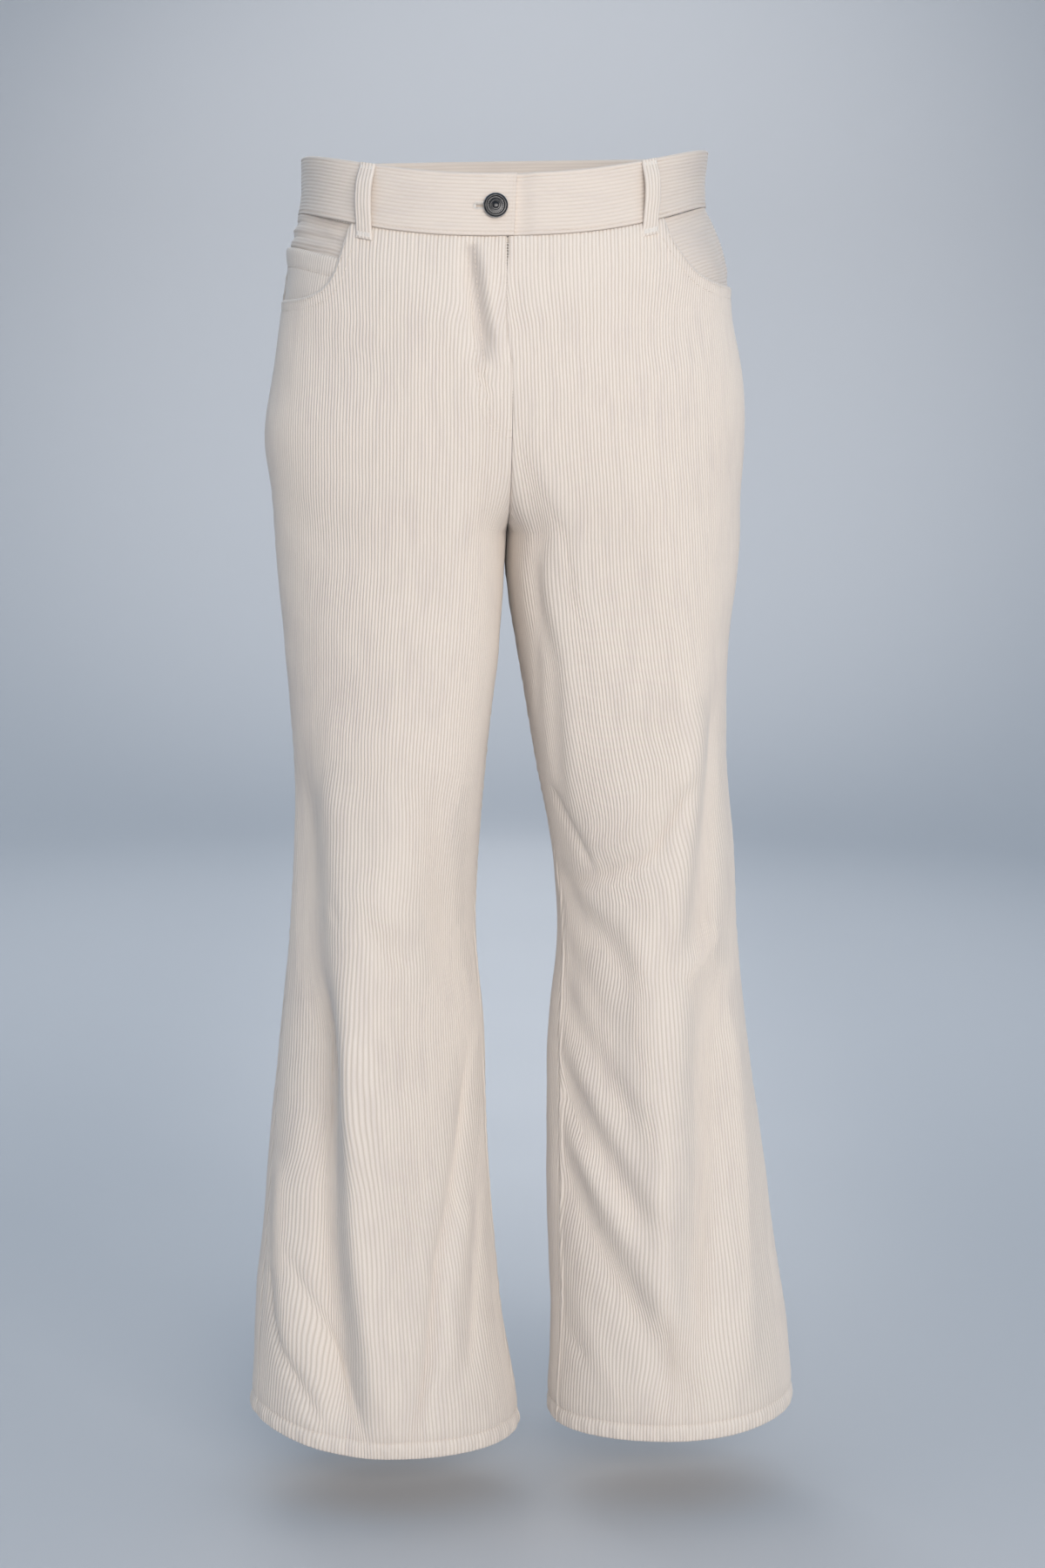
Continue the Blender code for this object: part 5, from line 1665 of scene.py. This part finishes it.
@dataclass
class BeltLoop:
    """A belt loop: a folded corduroy strip tacked under the waist seam and at the band's top."""

    name: str
    waist: Waist
    share: float
    width: float = 12.5
    wall: float = 1.8
    crown: float = 4.6
    foot: float = 9.0
    foot_air: float = 0.55

    def inner_face(self, heights: np.ndarray) -> np.ndarray:
        """Offset of the loop's inner face at heights over the waist seam.

        Args:
            heights: the heights.

        Returns:
            Offsets from the form's face.
        """
        rest = BAND_PROUD + SEAM_GAP
        rise = ((-self.foot, self.foot_air), (-self.foot / 2, self.foot_air + 0.1),
                (-1.5, rest + 0.1 * self.crown), (4.0, rest + 0.4 * self.crown),
                (12.0, rest + 0.86 * self.crown), (20.0, rest + self.crown),
                (28.0, rest + 0.82 * self.crown), (35.0, rest + 0.3 * self.crown),
                (BAND_HEIGHT - 1.5, rest), (BAND_HEIGHT, rest))

        return column([Rise(*row) for row in rise], "out", heights)

    def build(self, finish: Material) -> None:
        """Lay the loop.

        Args:
            finish: its material.
        """
        heights = np.concatenate([np.linspace(-self.foot, -self.foot + 2.0, 4),
                                  np.linspace(-self.foot + 3.2, BAND_HEIGHT - 2.0, 30),
                                  np.linspace(BAND_HEIGHT - 1.4, BAND_HEIGHT, 4)])
        half = self.width / 2
        across = np.linspace(-half, half, 21)
        flared = 1.0 + 0.10 * bell(heights + self.foot, 5.0)
        inner = self.inner_face(heights)
        edge = np.clip(1 - np.abs(across) / half, 0, 1)
        rounded = -0.8 * bell(edge * half, 0.7)
        pile = (1 - bell(edge * half, 1.0)) * (wale_height(across + WALE / 2) + WALE_MEAN)
        stitched = -0.25 * bell(np.abs(across) - half + 1.9, 0.5)
        outer = (inner[:, None] + self.wall + (rounded + pile + stitched - 0.35)[None, :]
                 + 0.15 * swell(across[None, :] * 3, heights[:, None], 16.0, self.share * 9))
        turned = np.minimum(heights - heights[0], heights[-1] - heights)
        outer -= (0.7 * bell(turned, 0.7))[:, None]
        tacked = bell(heights + self.foot - 3.0, 1.6)
        outer -= (0.45 * tacked)[:, None]
        offsets = np.concatenate([outer, inner[:, None] + 0 * across[None, ::4], outer[:, :1]], 1)
        places = np.concatenate([across, across[::-4], across[:1]])
        run = self.share * self.waist.total + places[None, :] * flared[:, None]
        height = heights[:, None] + 0 * places[None, :]
        points = self.waist.points(run, height, offsets)
        uv = np.stack([places[None, :] + WALE / 2 + 0 * height, height], -1) * MM
        piece = lay_cloth(self.name + "_cloth", points, uv)
        dress(piece, finish, "corduroy_loop", self.name)

    def tacks(self) -> list[Pair]:
        """Lines of the dense stitches at the loop's two ends."""
        lines = []
        middle = self.share * self.waist.total
        for low, count in ((-self.foot + 1.6, 9), (BAND_HEIGHT - 4.2, 7)):
            for k in range(count):
                at = low + 0.33 * k
                runs = middle + np.linspace(-5.2, 5.2, 9)
                heights = np.full(9, at)
                place, normal = self.waist.faced(runs, heights)
                out = float(self.inner_face(np.array([at]))[0]) + self.wall - 0.2
                lines.append((place + normal * out, normal))
        return lines


# --- pockets

@dataclass
class PocketFacing:
    """The facing behind a pocket mouth, its wales running across."""

    name: str
    side: LegSurface
    scoop: Scoop
    deepest: float
    bunched: float

    def depth(self, from_seam: np.ndarray, fallen: np.ndarray) -> np.ndarray:
        """Offset of the facing's face: flush by the outseam, deep under the front's edge."""
        near = self.scoop.nearness(from_seam, fallen)
        return self.deepest * ease((near - FACING_FLUSH) / FACING_SINKS)

    def slack(self, from_seam: np.ndarray, fallen: np.ndarray) -> np.ndarray:
        """Folds of the facing where the mouth gapes."""
        if self.bunched > 0:
            rolls = np.sin(2 * math.pi * (fallen + 0.05 * from_seam) / 9.5)
            return self.bunched * rolls * bell(fallen - 11.0, 11.0)
        bend = 16.0 + 7.0 * np.sin(fallen / 17.0)
        return 2.2 * bell(from_seam - bend, 7.0) * ease(fallen / 12.0)

    def points(self, from_seam: np.ndarray, fallen: np.ndarray, lift: np.ndarray | float) -> np.ndarray:
        """Points of the facing's face, lifted."""
        plain = SEAM_SIDE_Z - fallen
        across = self.side.seam("out", plain) - from_seam
        z = self.side.true_height(across, plain)
        mouth = ease((1.02 - self.scoop.nearness(from_seam, fallen)) / 0.25)
        out = self.depth(from_seam, fallen) + self.slack(from_seam, fallen) * mouth
        return self.side.points(across, z, out + lift)

    def build(self, finish: Material) -> None:
        """Lay the facing.

        Args:
            finish: its material.
        """
        reach = self.scoop.widened(FACING_REACH)
        step = WALE / len(WALE_SHAPE)
        fallen = np.arange(0.0, reach.height * 0.985, step)
        share = np.linspace(0.0, 1.0, 34)
        last = np.array([reach.reach(value) for value in fallen])
        from_seam = SEAM_GAP / 2 + share[None, :] * (last - SEAM_GAP / 2)[:, None]
        down = fallen[:, None] + 0 * from_seam
        wander = 0.7 * swell(from_seam, down, 40.0, 1.9)
        outer = self.points(from_seam, down, wale_height(down + wander)
                            - 0.8 * bell(from_seam, 1.2))
        inner = self.points(from_seam[:, ::4], down[:, ::4], -CLOTH)
        piece = lay_shell(self.name + "_cloth", outer, inner, np.stack([from_seam, down + wander], -1))
        dress(piece, finish, "corduroy_facing", self.name)


@dataclass
class CoinPocket:
    """Small pocket on the right facing, wales running down, with a stitched top hem."""

    facing: PocketFacing
    top: float = 24.0
    foot: float = 66.0
    first: float = 6.0

    def build(self, finish: Material) -> None:
        """Lay the coin pocket.

        Args:
            finish: its material.
        """
        reach = self.facing.scoop.widened(FACING_REACH)
        fallen = np.concatenate([[self.top, self.top + 0.5, self.top + 1.4],
                                 np.linspace(self.top + 3.0, self.foot, 24)])
        last = np.array([reach.reach(value) - 3.0 for value in fallen])
        step = WALE / len(WALE_SHAPE)
        places = np.arange(self.first, last.max() + step, step)
        from_seam = np.minimum(places[None, :], last[:, None])
        down = fallen[:, None] + 0 * from_seam
        edge = bell(down - self.top, 0.7) + bell(from_seam - self.first, 0.8)
        hem_rows = bell(down - self.top - 13.0, 0.9)
        swollen = 0.5 * bell(down - self.top - 6.0, 6.0)
        lift = ROUND_AIR + COIN_WALL + 0.9
        outer_lift = (lift + wale_height(from_seam) * (1 - 0.8 * np.clip(edge, 0, 1)) - 0.8 * edge
                      - 0.5 * hem_rows + swollen + 0.3 * swell(from_seam, down, 30.0, 2.4))
        outer = self.facing.points(from_seam, down, outer_lift)
        inner = self.facing.points(from_seam[:, ::4], down[:, ::4], lift - COIN_WALL - 0.3)
        piece = lay_shell("coin_pocket_cloth", outer, inner, np.stack([from_seam, down], -1))
        dress(piece, finish, "corduroy_facing", "coin_pocket")


# --- fly, zip and button

@dataclass
class ZipFly:
    """The zip behind the fly: tape, teeth that show under the band, and the slider."""

    right: LegSurface
    top_z: float = -47.0
    end_z: float = -168.0
    tape_out: float = -2.5
    half_width: float = 15.0
    wall: float = 1.2
    tooth_pitch: float = 2.1
    tooth_size: Triple = (2.4, 1.3, 1.25)

    def tape_points(self, place: np.ndarray, z: np.ndarray, out: np.ndarray | float,
                    left: LegSurface) -> np.ndarray:
        """Points of the tape by distance from the centre seam, negative to the wearer's right.

        Args:
            place: the distances.
            z: heights.
            out: offsets from the form's face.
            left: the left leg's form.

        Returns:
            Points in millimetres.
        """
        place, z = np.broadcast_arrays(place, z)
        out = np.broadcast_to(np.asarray(out, float), place.shape)
        points = np.empty(place.shape + (3,))
        for mask, side in ((place < 0, self.right), (place >= 0, left)):
            across = side.bound("front_in", z[mask]) + np.abs(place[mask])
            points[mask] = side.points(across, z[mask], out[mask])
        return points

    def build(self, left: LegSurface, wardrobe: Wardrobe) -> None:
        """Make the tape, its teeth and the slider's finish.

        Args:
            left: the left leg's form.
            wardrobe: the finishes.
        """
        z = np.linspace(self.top_z, self.end_z, 60)
        places = np.linspace(-self.half_width, self.half_width, 25)
        offset = places[None, :] + fly_edge_x(z)[:, None]
        height = z[:, None] + 0 * offset
        ridge = 0.35 * bell(places, 2.2)[None, :]
        outer = self.tape_points(offset, height, self.tape_out + ridge, left)
        inner = self.tape_points(offset[:, ::4], height[:, ::4], self.tape_out - self.wall, left)
        tape = lay_shell("zip_tape_cloth", outer, inner, np.stack([offset, height], -1))
        dress(tape, wardrobe.tape, "zip_tape", "zip_tape")
        self.teeth(left, wardrobe)
        for item in bpy.data.objects["zip_slider"].material_slots:
            item.material = wardrobe.gunmetal

    def teeth(self, left: LegSurface, wardrobe: Wardrobe) -> None:
        """Cut one tooth from a cube and copy it down both sides of the zip.

        Args:
            left: the left leg's form.
            wardrobe: the finishes.
        """
        deselect_all()
        bpy.ops.mesh.primitive_cube_add(size=1.0)
        tooth = bpy.context.object
        tooth.scale = self.tooth_size
        bpy.ops.object.transform_apply(location=False, rotation=False, scale=True)
        bevel = tooth.modifiers.new("Edges", "BEVEL")
        bevel.width = 0.28
        bevel.segments = 2
        bpy.ops.object.modifier_apply(modifier="Edges")
        base, faces = taken(tooth)
        teeth = []
        count = int((self.top_z - self.end_z - 10.0) / self.tooth_pitch)
        for k in range(2 * count):
            z = self.top_z - 4.0 - self.tooth_pitch * k / 2
            place = float(fly_edge_x(z)) + 1.15 + (0.75 if k % 2 else -0.75)
            middle = self.tape_points(np.array([place]), np.array([z]), self.tape_out + 0.75, left)[0]
            teeth.append((middle + base) * MM)
        dress(set_out("zip_teeth", teeth, faces), wardrobe.teeth, "gunmetal")


@dataclass
class WaistButton:
    """Dished shank button with a bright rim, a plain bead ring and a domed middle."""

    band: Waistband
    radius: float = 8.5
    seat: float = 2.0
    thick: float = 3.0
    beads: int = 28
    bead_ring: float = 5.05

    def profile(self) -> list[tuple[float, float]]:
        """Radius and height of the cap's outline, from the middle to the shank's foot."""
        top = self.seat + self.thick
        return [(0.0, top - 0.35), (1.0, top - 0.38), (2.0, top - 0.6), (2.45, top - 1.05),
                (2.9, top - 1.1), (3.3, top - 0.75), (3.7, top - 0.72), (4.2, top - 0.95),
                (5.9, top - 0.9), (6.3, top - 0.55), (6.7, top - 0.05), (7.2, top),
                (7.8, top - 0.25), (8.3, top - 0.9), (self.radius, top - 1.6), (8.2, self.seat + 0.5),
                (7.0, self.seat), (2.2, self.seat), (2.2, BAND_PROUD - BAND_WALL),
                (0.0, BAND_PROUD - BAND_WALL)]

    def frame(self) -> Matrix:
        """Matrix that stands the button on the band."""
        run = np.array([self.band.button_run])
        place, normal = self.band.waist.faced(run, np.array([self.band.button_height]))
        out = Vector(normal[0]).normalized()
        level = Vector((0.0, 0.0, 1.0)).cross(out).normalized()
        turned = Matrix((level, out.cross(level), out)).transposed().to_4x4()
        return Matrix.Translation(Vector(place[0]) * MM) @ turned

    def turned(self, name: str, outline: Sequence[tuple[float, float]]) -> Object:
        """Turn an outline in millimetres round the button's axis."""
        piece = spun(name, [(radius * MM, height * MM) for radius, height in outline], 64, 1e-6)
        bpy.ops.object.shade_smooth_by_angle(angle=math.radians(38.0))
        piece.data.transform(self.frame())
        return piece

    def build(self, wardrobe: Wardrobe) -> None:
        """Make the cap with its shank, the rim and the bead ring.

        Args:
            wardrobe: the finishes.
        """
        dress(self.turned("button_cap", self.profile()), wardrobe.gunmetal, "gunmetal", "button")
        top = self.seat + self.thick
        rim = [(8.15, top - 1.0), (8.35, top - 0.8), (8.62, top - 1.0), (8.72, top - 1.5),
               (8.6, top - 2.0), (8.3, top - 1.9), (8.15, top - 1.0)]
        dress(self.turned("button_edge", rim), wardrobe.rim, "gunmetal")
        deselect_all()
        bpy.ops.mesh.primitive_uv_sphere_add(segments=10, ring_count=7, radius=0.36 * MM)
        bead, faces = taken(bpy.context.object)
        beads = []
        for angle in np.arange(self.beads) * 2 * math.pi / self.beads:
            middle = (self.bead_ring * math.cos(angle), self.bead_ring * math.sin(angle), top - 0.86)
            beads.append(bead + np.array(middle) * MM)
        piece = set_out("button_beads", beads, faces)
        piece.data.transform(self.frame())
        piece.data.shade_smooth()
        dress(piece, wardrobe.gunmetal, "gunmetal")


# --- sewing lines

@dataclass
class Seamstress:
    """Every row of stitches that shows."""

    panels: dict[str, TrouserPanel]
    band: Waistband
    loops: Sequence[BeltLoop]
    facing: PocketFacing
    coin: CoinPocket

    def scoop_rows(self, name: str) -> list[Pair]:
        """Two rows round a pocket mouth.

        Args:
            name: the front's name.

        Returns:
            The rows.
        """
        panel = self.panels[name]
        lines = []
        for off in SCOOP_ROWS:
            around = panel.scoop.widened(off)
            turn = np.radians(np.linspace(4.0, 87.0, 80))
            fallen = around.height * np.sin(turn) ** (2 / around.power)
            from_seam = around.width * np.cos(turn) ** (2 / around.power)
            keep = (fallen > 1.0) & (from_seam > 1.0)
            plain = SEAM_SIDE_Z - fallen[keep]
            across = panel.limits(plain)[1] - from_seam[keep]
            lines.append(panel.on_cloth(across, plain, 0.12))
        return lines

    def fly_rows(self) -> list[Pair]:
        """The double J from the band down to the fly's foot, and the edge row."""
        panel = self.panels["front_right"]
        lines = []
        wide, high = FLY_BEND
        for shift in FLY_ROWS:
            z = np.linspace(FLY_ROWS_Z[-1], FLY_BEND_Z, 60)
            x = np.interp(z, FLY_ROWS_Z, FLY_ROWS_X) - shift
            foot = np.radians(np.linspace(0.0, 90.0, 24))
            z_foot = FLY_BEND_Z - (high - shift) * np.sin(foot)
            x_foot = (wide - shift) * np.cos(foot)
            x, z = np.concatenate([x, x_foot]), np.concatenate([z, z_foot])
            across = panel.side.bound("front_in", z) + x
            lines.append(self.by_height(panel, across, z))
        return lines

    @staticmethod
    def by_height(panel: TrouserPanel, across: np.ndarray, z: np.ndarray) -> Pair:
        """Line of a panel given by true heights."""
        plain = z.copy()
        for _ in range(6):
            plain = plain + (z - panel.side.true_height(across, plain))
        return panel.on_cloth(across, plain, 0.12)

    def hem_rows(self, name: str) -> list[Pair]:
        """The row that holds the turned-up hem."""
        panel = self.panels[name]
        plain = np.array([HEM_PLAIN_Z + HEM_DEPTH])
        low, high = (float(value[0]) for value in panel.limits(plain))
        across = np.linspace(low + 0.5, high - 0.5, 120)
        return [panel.on_cloth(across, np.full(120, plain[0]), 0.15)]

    def band_rows(self) -> list[Pair]:
        """Rows along the band's lower edge and across its lapped end."""
        runs = np.arange(1.5, self.band.waist.total - UNDER_START, 3.0)
        lines = [self.band.line(runs, np.full(len(runs), BAND_ROW), 0.15)]
        for run in END_ROWS:
            heights = np.linspace(1.2, BAND_HEIGHT - 1.5, 20)
            lines.append(self.band.line(np.full(20, run), heights, 0.15))
        return lines

    def hole_rows(self) -> list[Pair]:
        """Dense thread round the buttonhole."""
        lines = []
        first, last = self.band.slit
        for k in range(int((last - first) / 0.5) + 1):
            run = first + 0.5 * k
            for side in (-1, 1):
                heights = self.band.button_height + side * np.linspace(0.8, 2.1, 4)
                lines.append(self.band.line(np.full(4, run), heights, 0.25))
        for angle in np.radians(np.linspace(-80.0, 80.0, 9)):
            reach = np.linspace(0.4, 1.8, 4)
            lines.append(self.band.line(last + reach * math.cos(angle) * 1.0,
                                        self.band.button_height + reach * math.sin(angle), 0.25))
        return lines

    def coin_rows(self) -> list[Pair]:
        """The coin pocket's hem row and side row."""
        coin, facing = self.coin, self.facing
        lines = []
        spans = ((np.linspace(coin.first + 1.0, 88.0, 50), np.full(50, coin.top + 13.0)),
                 (np.full(20, coin.first + 1.8), np.linspace(coin.top + 1.0, 50.0, 20)))
        for from_seam, fallen in spans:
            low = facing.points(from_seam, fallen, ROUND_AIR + COIN_WALL + 0.9)
            high = facing.points(from_seam, fallen, ROUND_AIR + COIN_WALL + 1.9)
            lines.append((low, high - low))
        return lines

    def sew(self, wardrobe: Wardrobe) -> None:
        """Sew all the rows.

        Args:
            wardrobe: the finishes.
        """
        thread, tack = wardrobe.thread, wardrobe.tack
        Stitching("stitches_pocket_right").sew(self.scoop_rows("front_right"), thread)
        Stitching("stitches_pocket_left").sew(self.scoop_rows("front_left"), thread)
        Stitching("stitches_fly").sew(self.fly_rows(), thread)
        for name in self.panels:
            Stitching(f"stitches_hem_{name}").sew(self.hem_rows(name), thread)
        Stitching("stitches_band", thick=0.24).sew(self.band_rows(), thread)
        Stitching("stitches_buttonhole", length=1.5, gap=-1.2, thick=0.2).sew(self.hole_rows(), tack)
        Stitching("stitches_coin", thick=0.24).sew(self.coin_rows(), thread)
        for loop in self.loops:
            Stitching(f"tacks_{loop.name}", length=2.4, gap=-0.6, thick=0.22).sew(loop.tacks(), tack)


# --- studio

@dataclass
class Studio:
    """Plain pale sweep, soft light and the camera."""

    floor_z: float = -1.0117
    camera_at: Triple = (-0.0753, -1.8585, -0.18505)
    heading: float = 2.8
    pitch: float = -8.11
    roll: float = 0.64
    lens: float = 56.02
    lamp_height: float = 2.6
    floor_run: tuple[float, ...] = (0.45, 0.8, 1.15, 1.55, 2.0, 2.5, 3.0)

    def sweep(self, finish: Material) -> None:
        """Round floor that curves up into a backdrop on all sides.

        Args:
            finish: its material.
        """
        reach, height, bend = 4.6, 4.2, 1.4
        outline = [(0.0, 0.0), (reach - bend, 0.0)]
        outline += [(reach - bend + bend * math.sin(turn), bend - bend * math.cos(turn))
                    for turn in np.radians(np.linspace(7.5, 90.0, 12))]
        outline.append((reach, height))
        floor = spun("sweep", [(x, self.floor_z + z) for x, z in outline], 72, 1e-5, inside=True)
        bpy.ops.object.shade_smooth()
        floor.data.materials.append(finish)

    def hang(self, light: Light, at: Triple,
             aim: Triple) -> None:
        """Hang a lamp at a place, turned to look at another, out of the camera's sight."""
        lamp = bpy.data.objects.new(light.name, light)
        lamp.location = at
        lamp.rotation_euler = (Vector(aim) - Vector(at)).to_track_quat("-Z", "Y").to_euler()
        lamp.visible_camera = False
        bpy.context.scene.collection.objects.link(lamp)

    def soft_box(self, name: str, at: Triple, size: float, power: float,
                 colour: Triple) -> None:
        """Square soft box that looks at the middle of the trousers."""
        light = bpy.data.lights.new(name, "AREA")
        light.size = size
        light.energy = power
        light.color = colour
        self.hang(light, at, (0.0, 0.0, -0.5))

    def wash(self, name: str, at: Triple, aim: Triple,
             spread: float, power: float) -> None:
        """Soft spot of a spread in degrees on the sweep behind the trousers.

        Args:
            name: the spot's name.
            at: where it hangs.
            aim: where it looks.
            spread: the whole angle of its beam.
            power: its power in watts.
        """
        light = bpy.data.lights.new(name, "SPOT")
        light.energy = power
        light.color = (1.0, 0.99, 0.98)
        light.spot_size = math.radians(spread)
        light.spot_blend = 1.0
        light.shadow_soft_size = 0.3
        self.hang(light, at, aim)

    def lights(self) -> None:
        """Soft boxes in front and behind, spots on wall and floor, and the room's light."""
        warm, cool = (1.0, 0.955, 0.90), (0.93, 0.97, 1.0)
        self.soft_box("key", (0.1, -3.6, 0.5), 1.4, 66.0, warm)
        self.soft_box("key_right", (1.4, -3.3, 0.5), 1.4, 42.0, warm)
        self.soft_box("back", (-0.9, 3.2, 2.4), 2.2, 30.0, cool)
        self.wash("wall_wash", (0.1, 1.9, 2.3), (0.25, 4.6, 0.1), 62.0, 170.0)
        self.wash("floor_wash", (0.1, 1.9, self.lamp_height), (0.1, 1.9, -1.0), 50.0, 95.0)
        for k, deep in enumerate(self.floor_run):
            aside = 0.01 + 0.045 * deep
            self.wash(f"floor_run_{k}", (aside, deep, self.lamp_height), (aside, deep, -1.0), 11.0, 135.0)
        world = bpy.data.worlds.new("studio")
        world.use_nodes = True
        background = world.node_tree.nodes["Background"]
        background.inputs["Color"].default_value = (0.55, 0.76, 1.0, 1.0)
        background.inputs["Strength"].default_value = 0.72
        bpy.context.scene.world = world

    def camera(self) -> None:
        """Camera in front at thigh height, tilted a little down."""
        data = bpy.data.cameras.new("camera")
        data.lens = self.lens
        data.sensor_width = 36.0
        data.clip_start = 0.05
        camera = bpy.data.objects.new("camera", data)
        turned = (Matrix.Rotation(math.radians(-self.heading), 4, "Z")
                  @ Matrix.Rotation(math.radians(90.0 + self.pitch), 4, "X")
                  @ Matrix.Rotation(math.radians(self.roll), 4, "Z"))
        camera.matrix_world = Matrix.Translation(self.camera_at) @ turned
        bpy.context.scene.collection.objects.link(camera)
        bpy.context.scene.camera = camera

    def build(self) -> None:
        """Set up the studio."""
        self.sweep(StudioFinish().make())
        self.lights()
        self.camera()
        bpy.context.scene.view_settings.view_transform = "Standard"


def main() -> None:
    """Set up the studio, then build and dress every piece."""
    logging.basicConfig(level=logging.INFO, format="%(name)s: %(message)s")
    Studio().build()
    wardrobe = Wardrobe()
    right = LegSurface(-1, WIDTHS_RIGHT, HEM_RIGHT)
    left = LegSurface(1, WIDTHS_LEFT, HEM_LEFT)
    made = (
        TrouserPanel("front_right", right, Half.FRONT, SCOOP_RIGHT, CREASES_FRONT_RIGHT, FRONT_CUT, 0.218),
        TrouserPanel("front_left", left, Half.FRONT, SCOOP_LEFT, CREASES_FRONT_LEFT, FRONT_CUT, 0.213),
        TrouserPanel("back_right", right, Half.BACK, SCOOP_RIGHT, CREASES_BACK_RIGHT, BACK_CUT, 0.238),
        TrouserPanel("back_left", left, Half.BACK, SCOOP_LEFT, CREASES_BACK_LEFT, BACK_CUT, 0.241),
    )
    panels = {panel.name: panel for panel in made}
    for panel in panels.values():
        panel.build(wardrobe.fly_panel_shaded if panel.name == "front_right" else wardrobe.panel)
    waist = Waist(right, left)
    band = Waistband(waist)
    band.build(wardrobe.band)
    loops = [BeltLoop(name, waist, share) for name, share in LOOP_SHARES.items()]
    for loop in loops:
        loop.build(wardrobe.panel)
    facing_deep = -(CLOTH + SEAM_GAP) - ROUND_AIR
    coin_deep = facing_deep - COIN_WALL - ROUND_AIR
    facing = PocketFacing("pocket_facing_right", right, SCOOP_RIGHT, coin_deep, 1.1)
    facing.build(wardrobe.band)
    PocketFacing("pocket_facing_left", left, SCOOP_LEFT, facing_deep, 0.0).build(wardrobe.band)
    coin = CoinPocket(facing)
    coin.build(wardrobe.panel)
    ZipFly(right).build(left, wardrobe)
    WaistButton(band).build(wardrobe)
    Seamstress(panels, band, loops, facing, coin).sew(wardrobe)


if __name__ == "__main__":
    main()
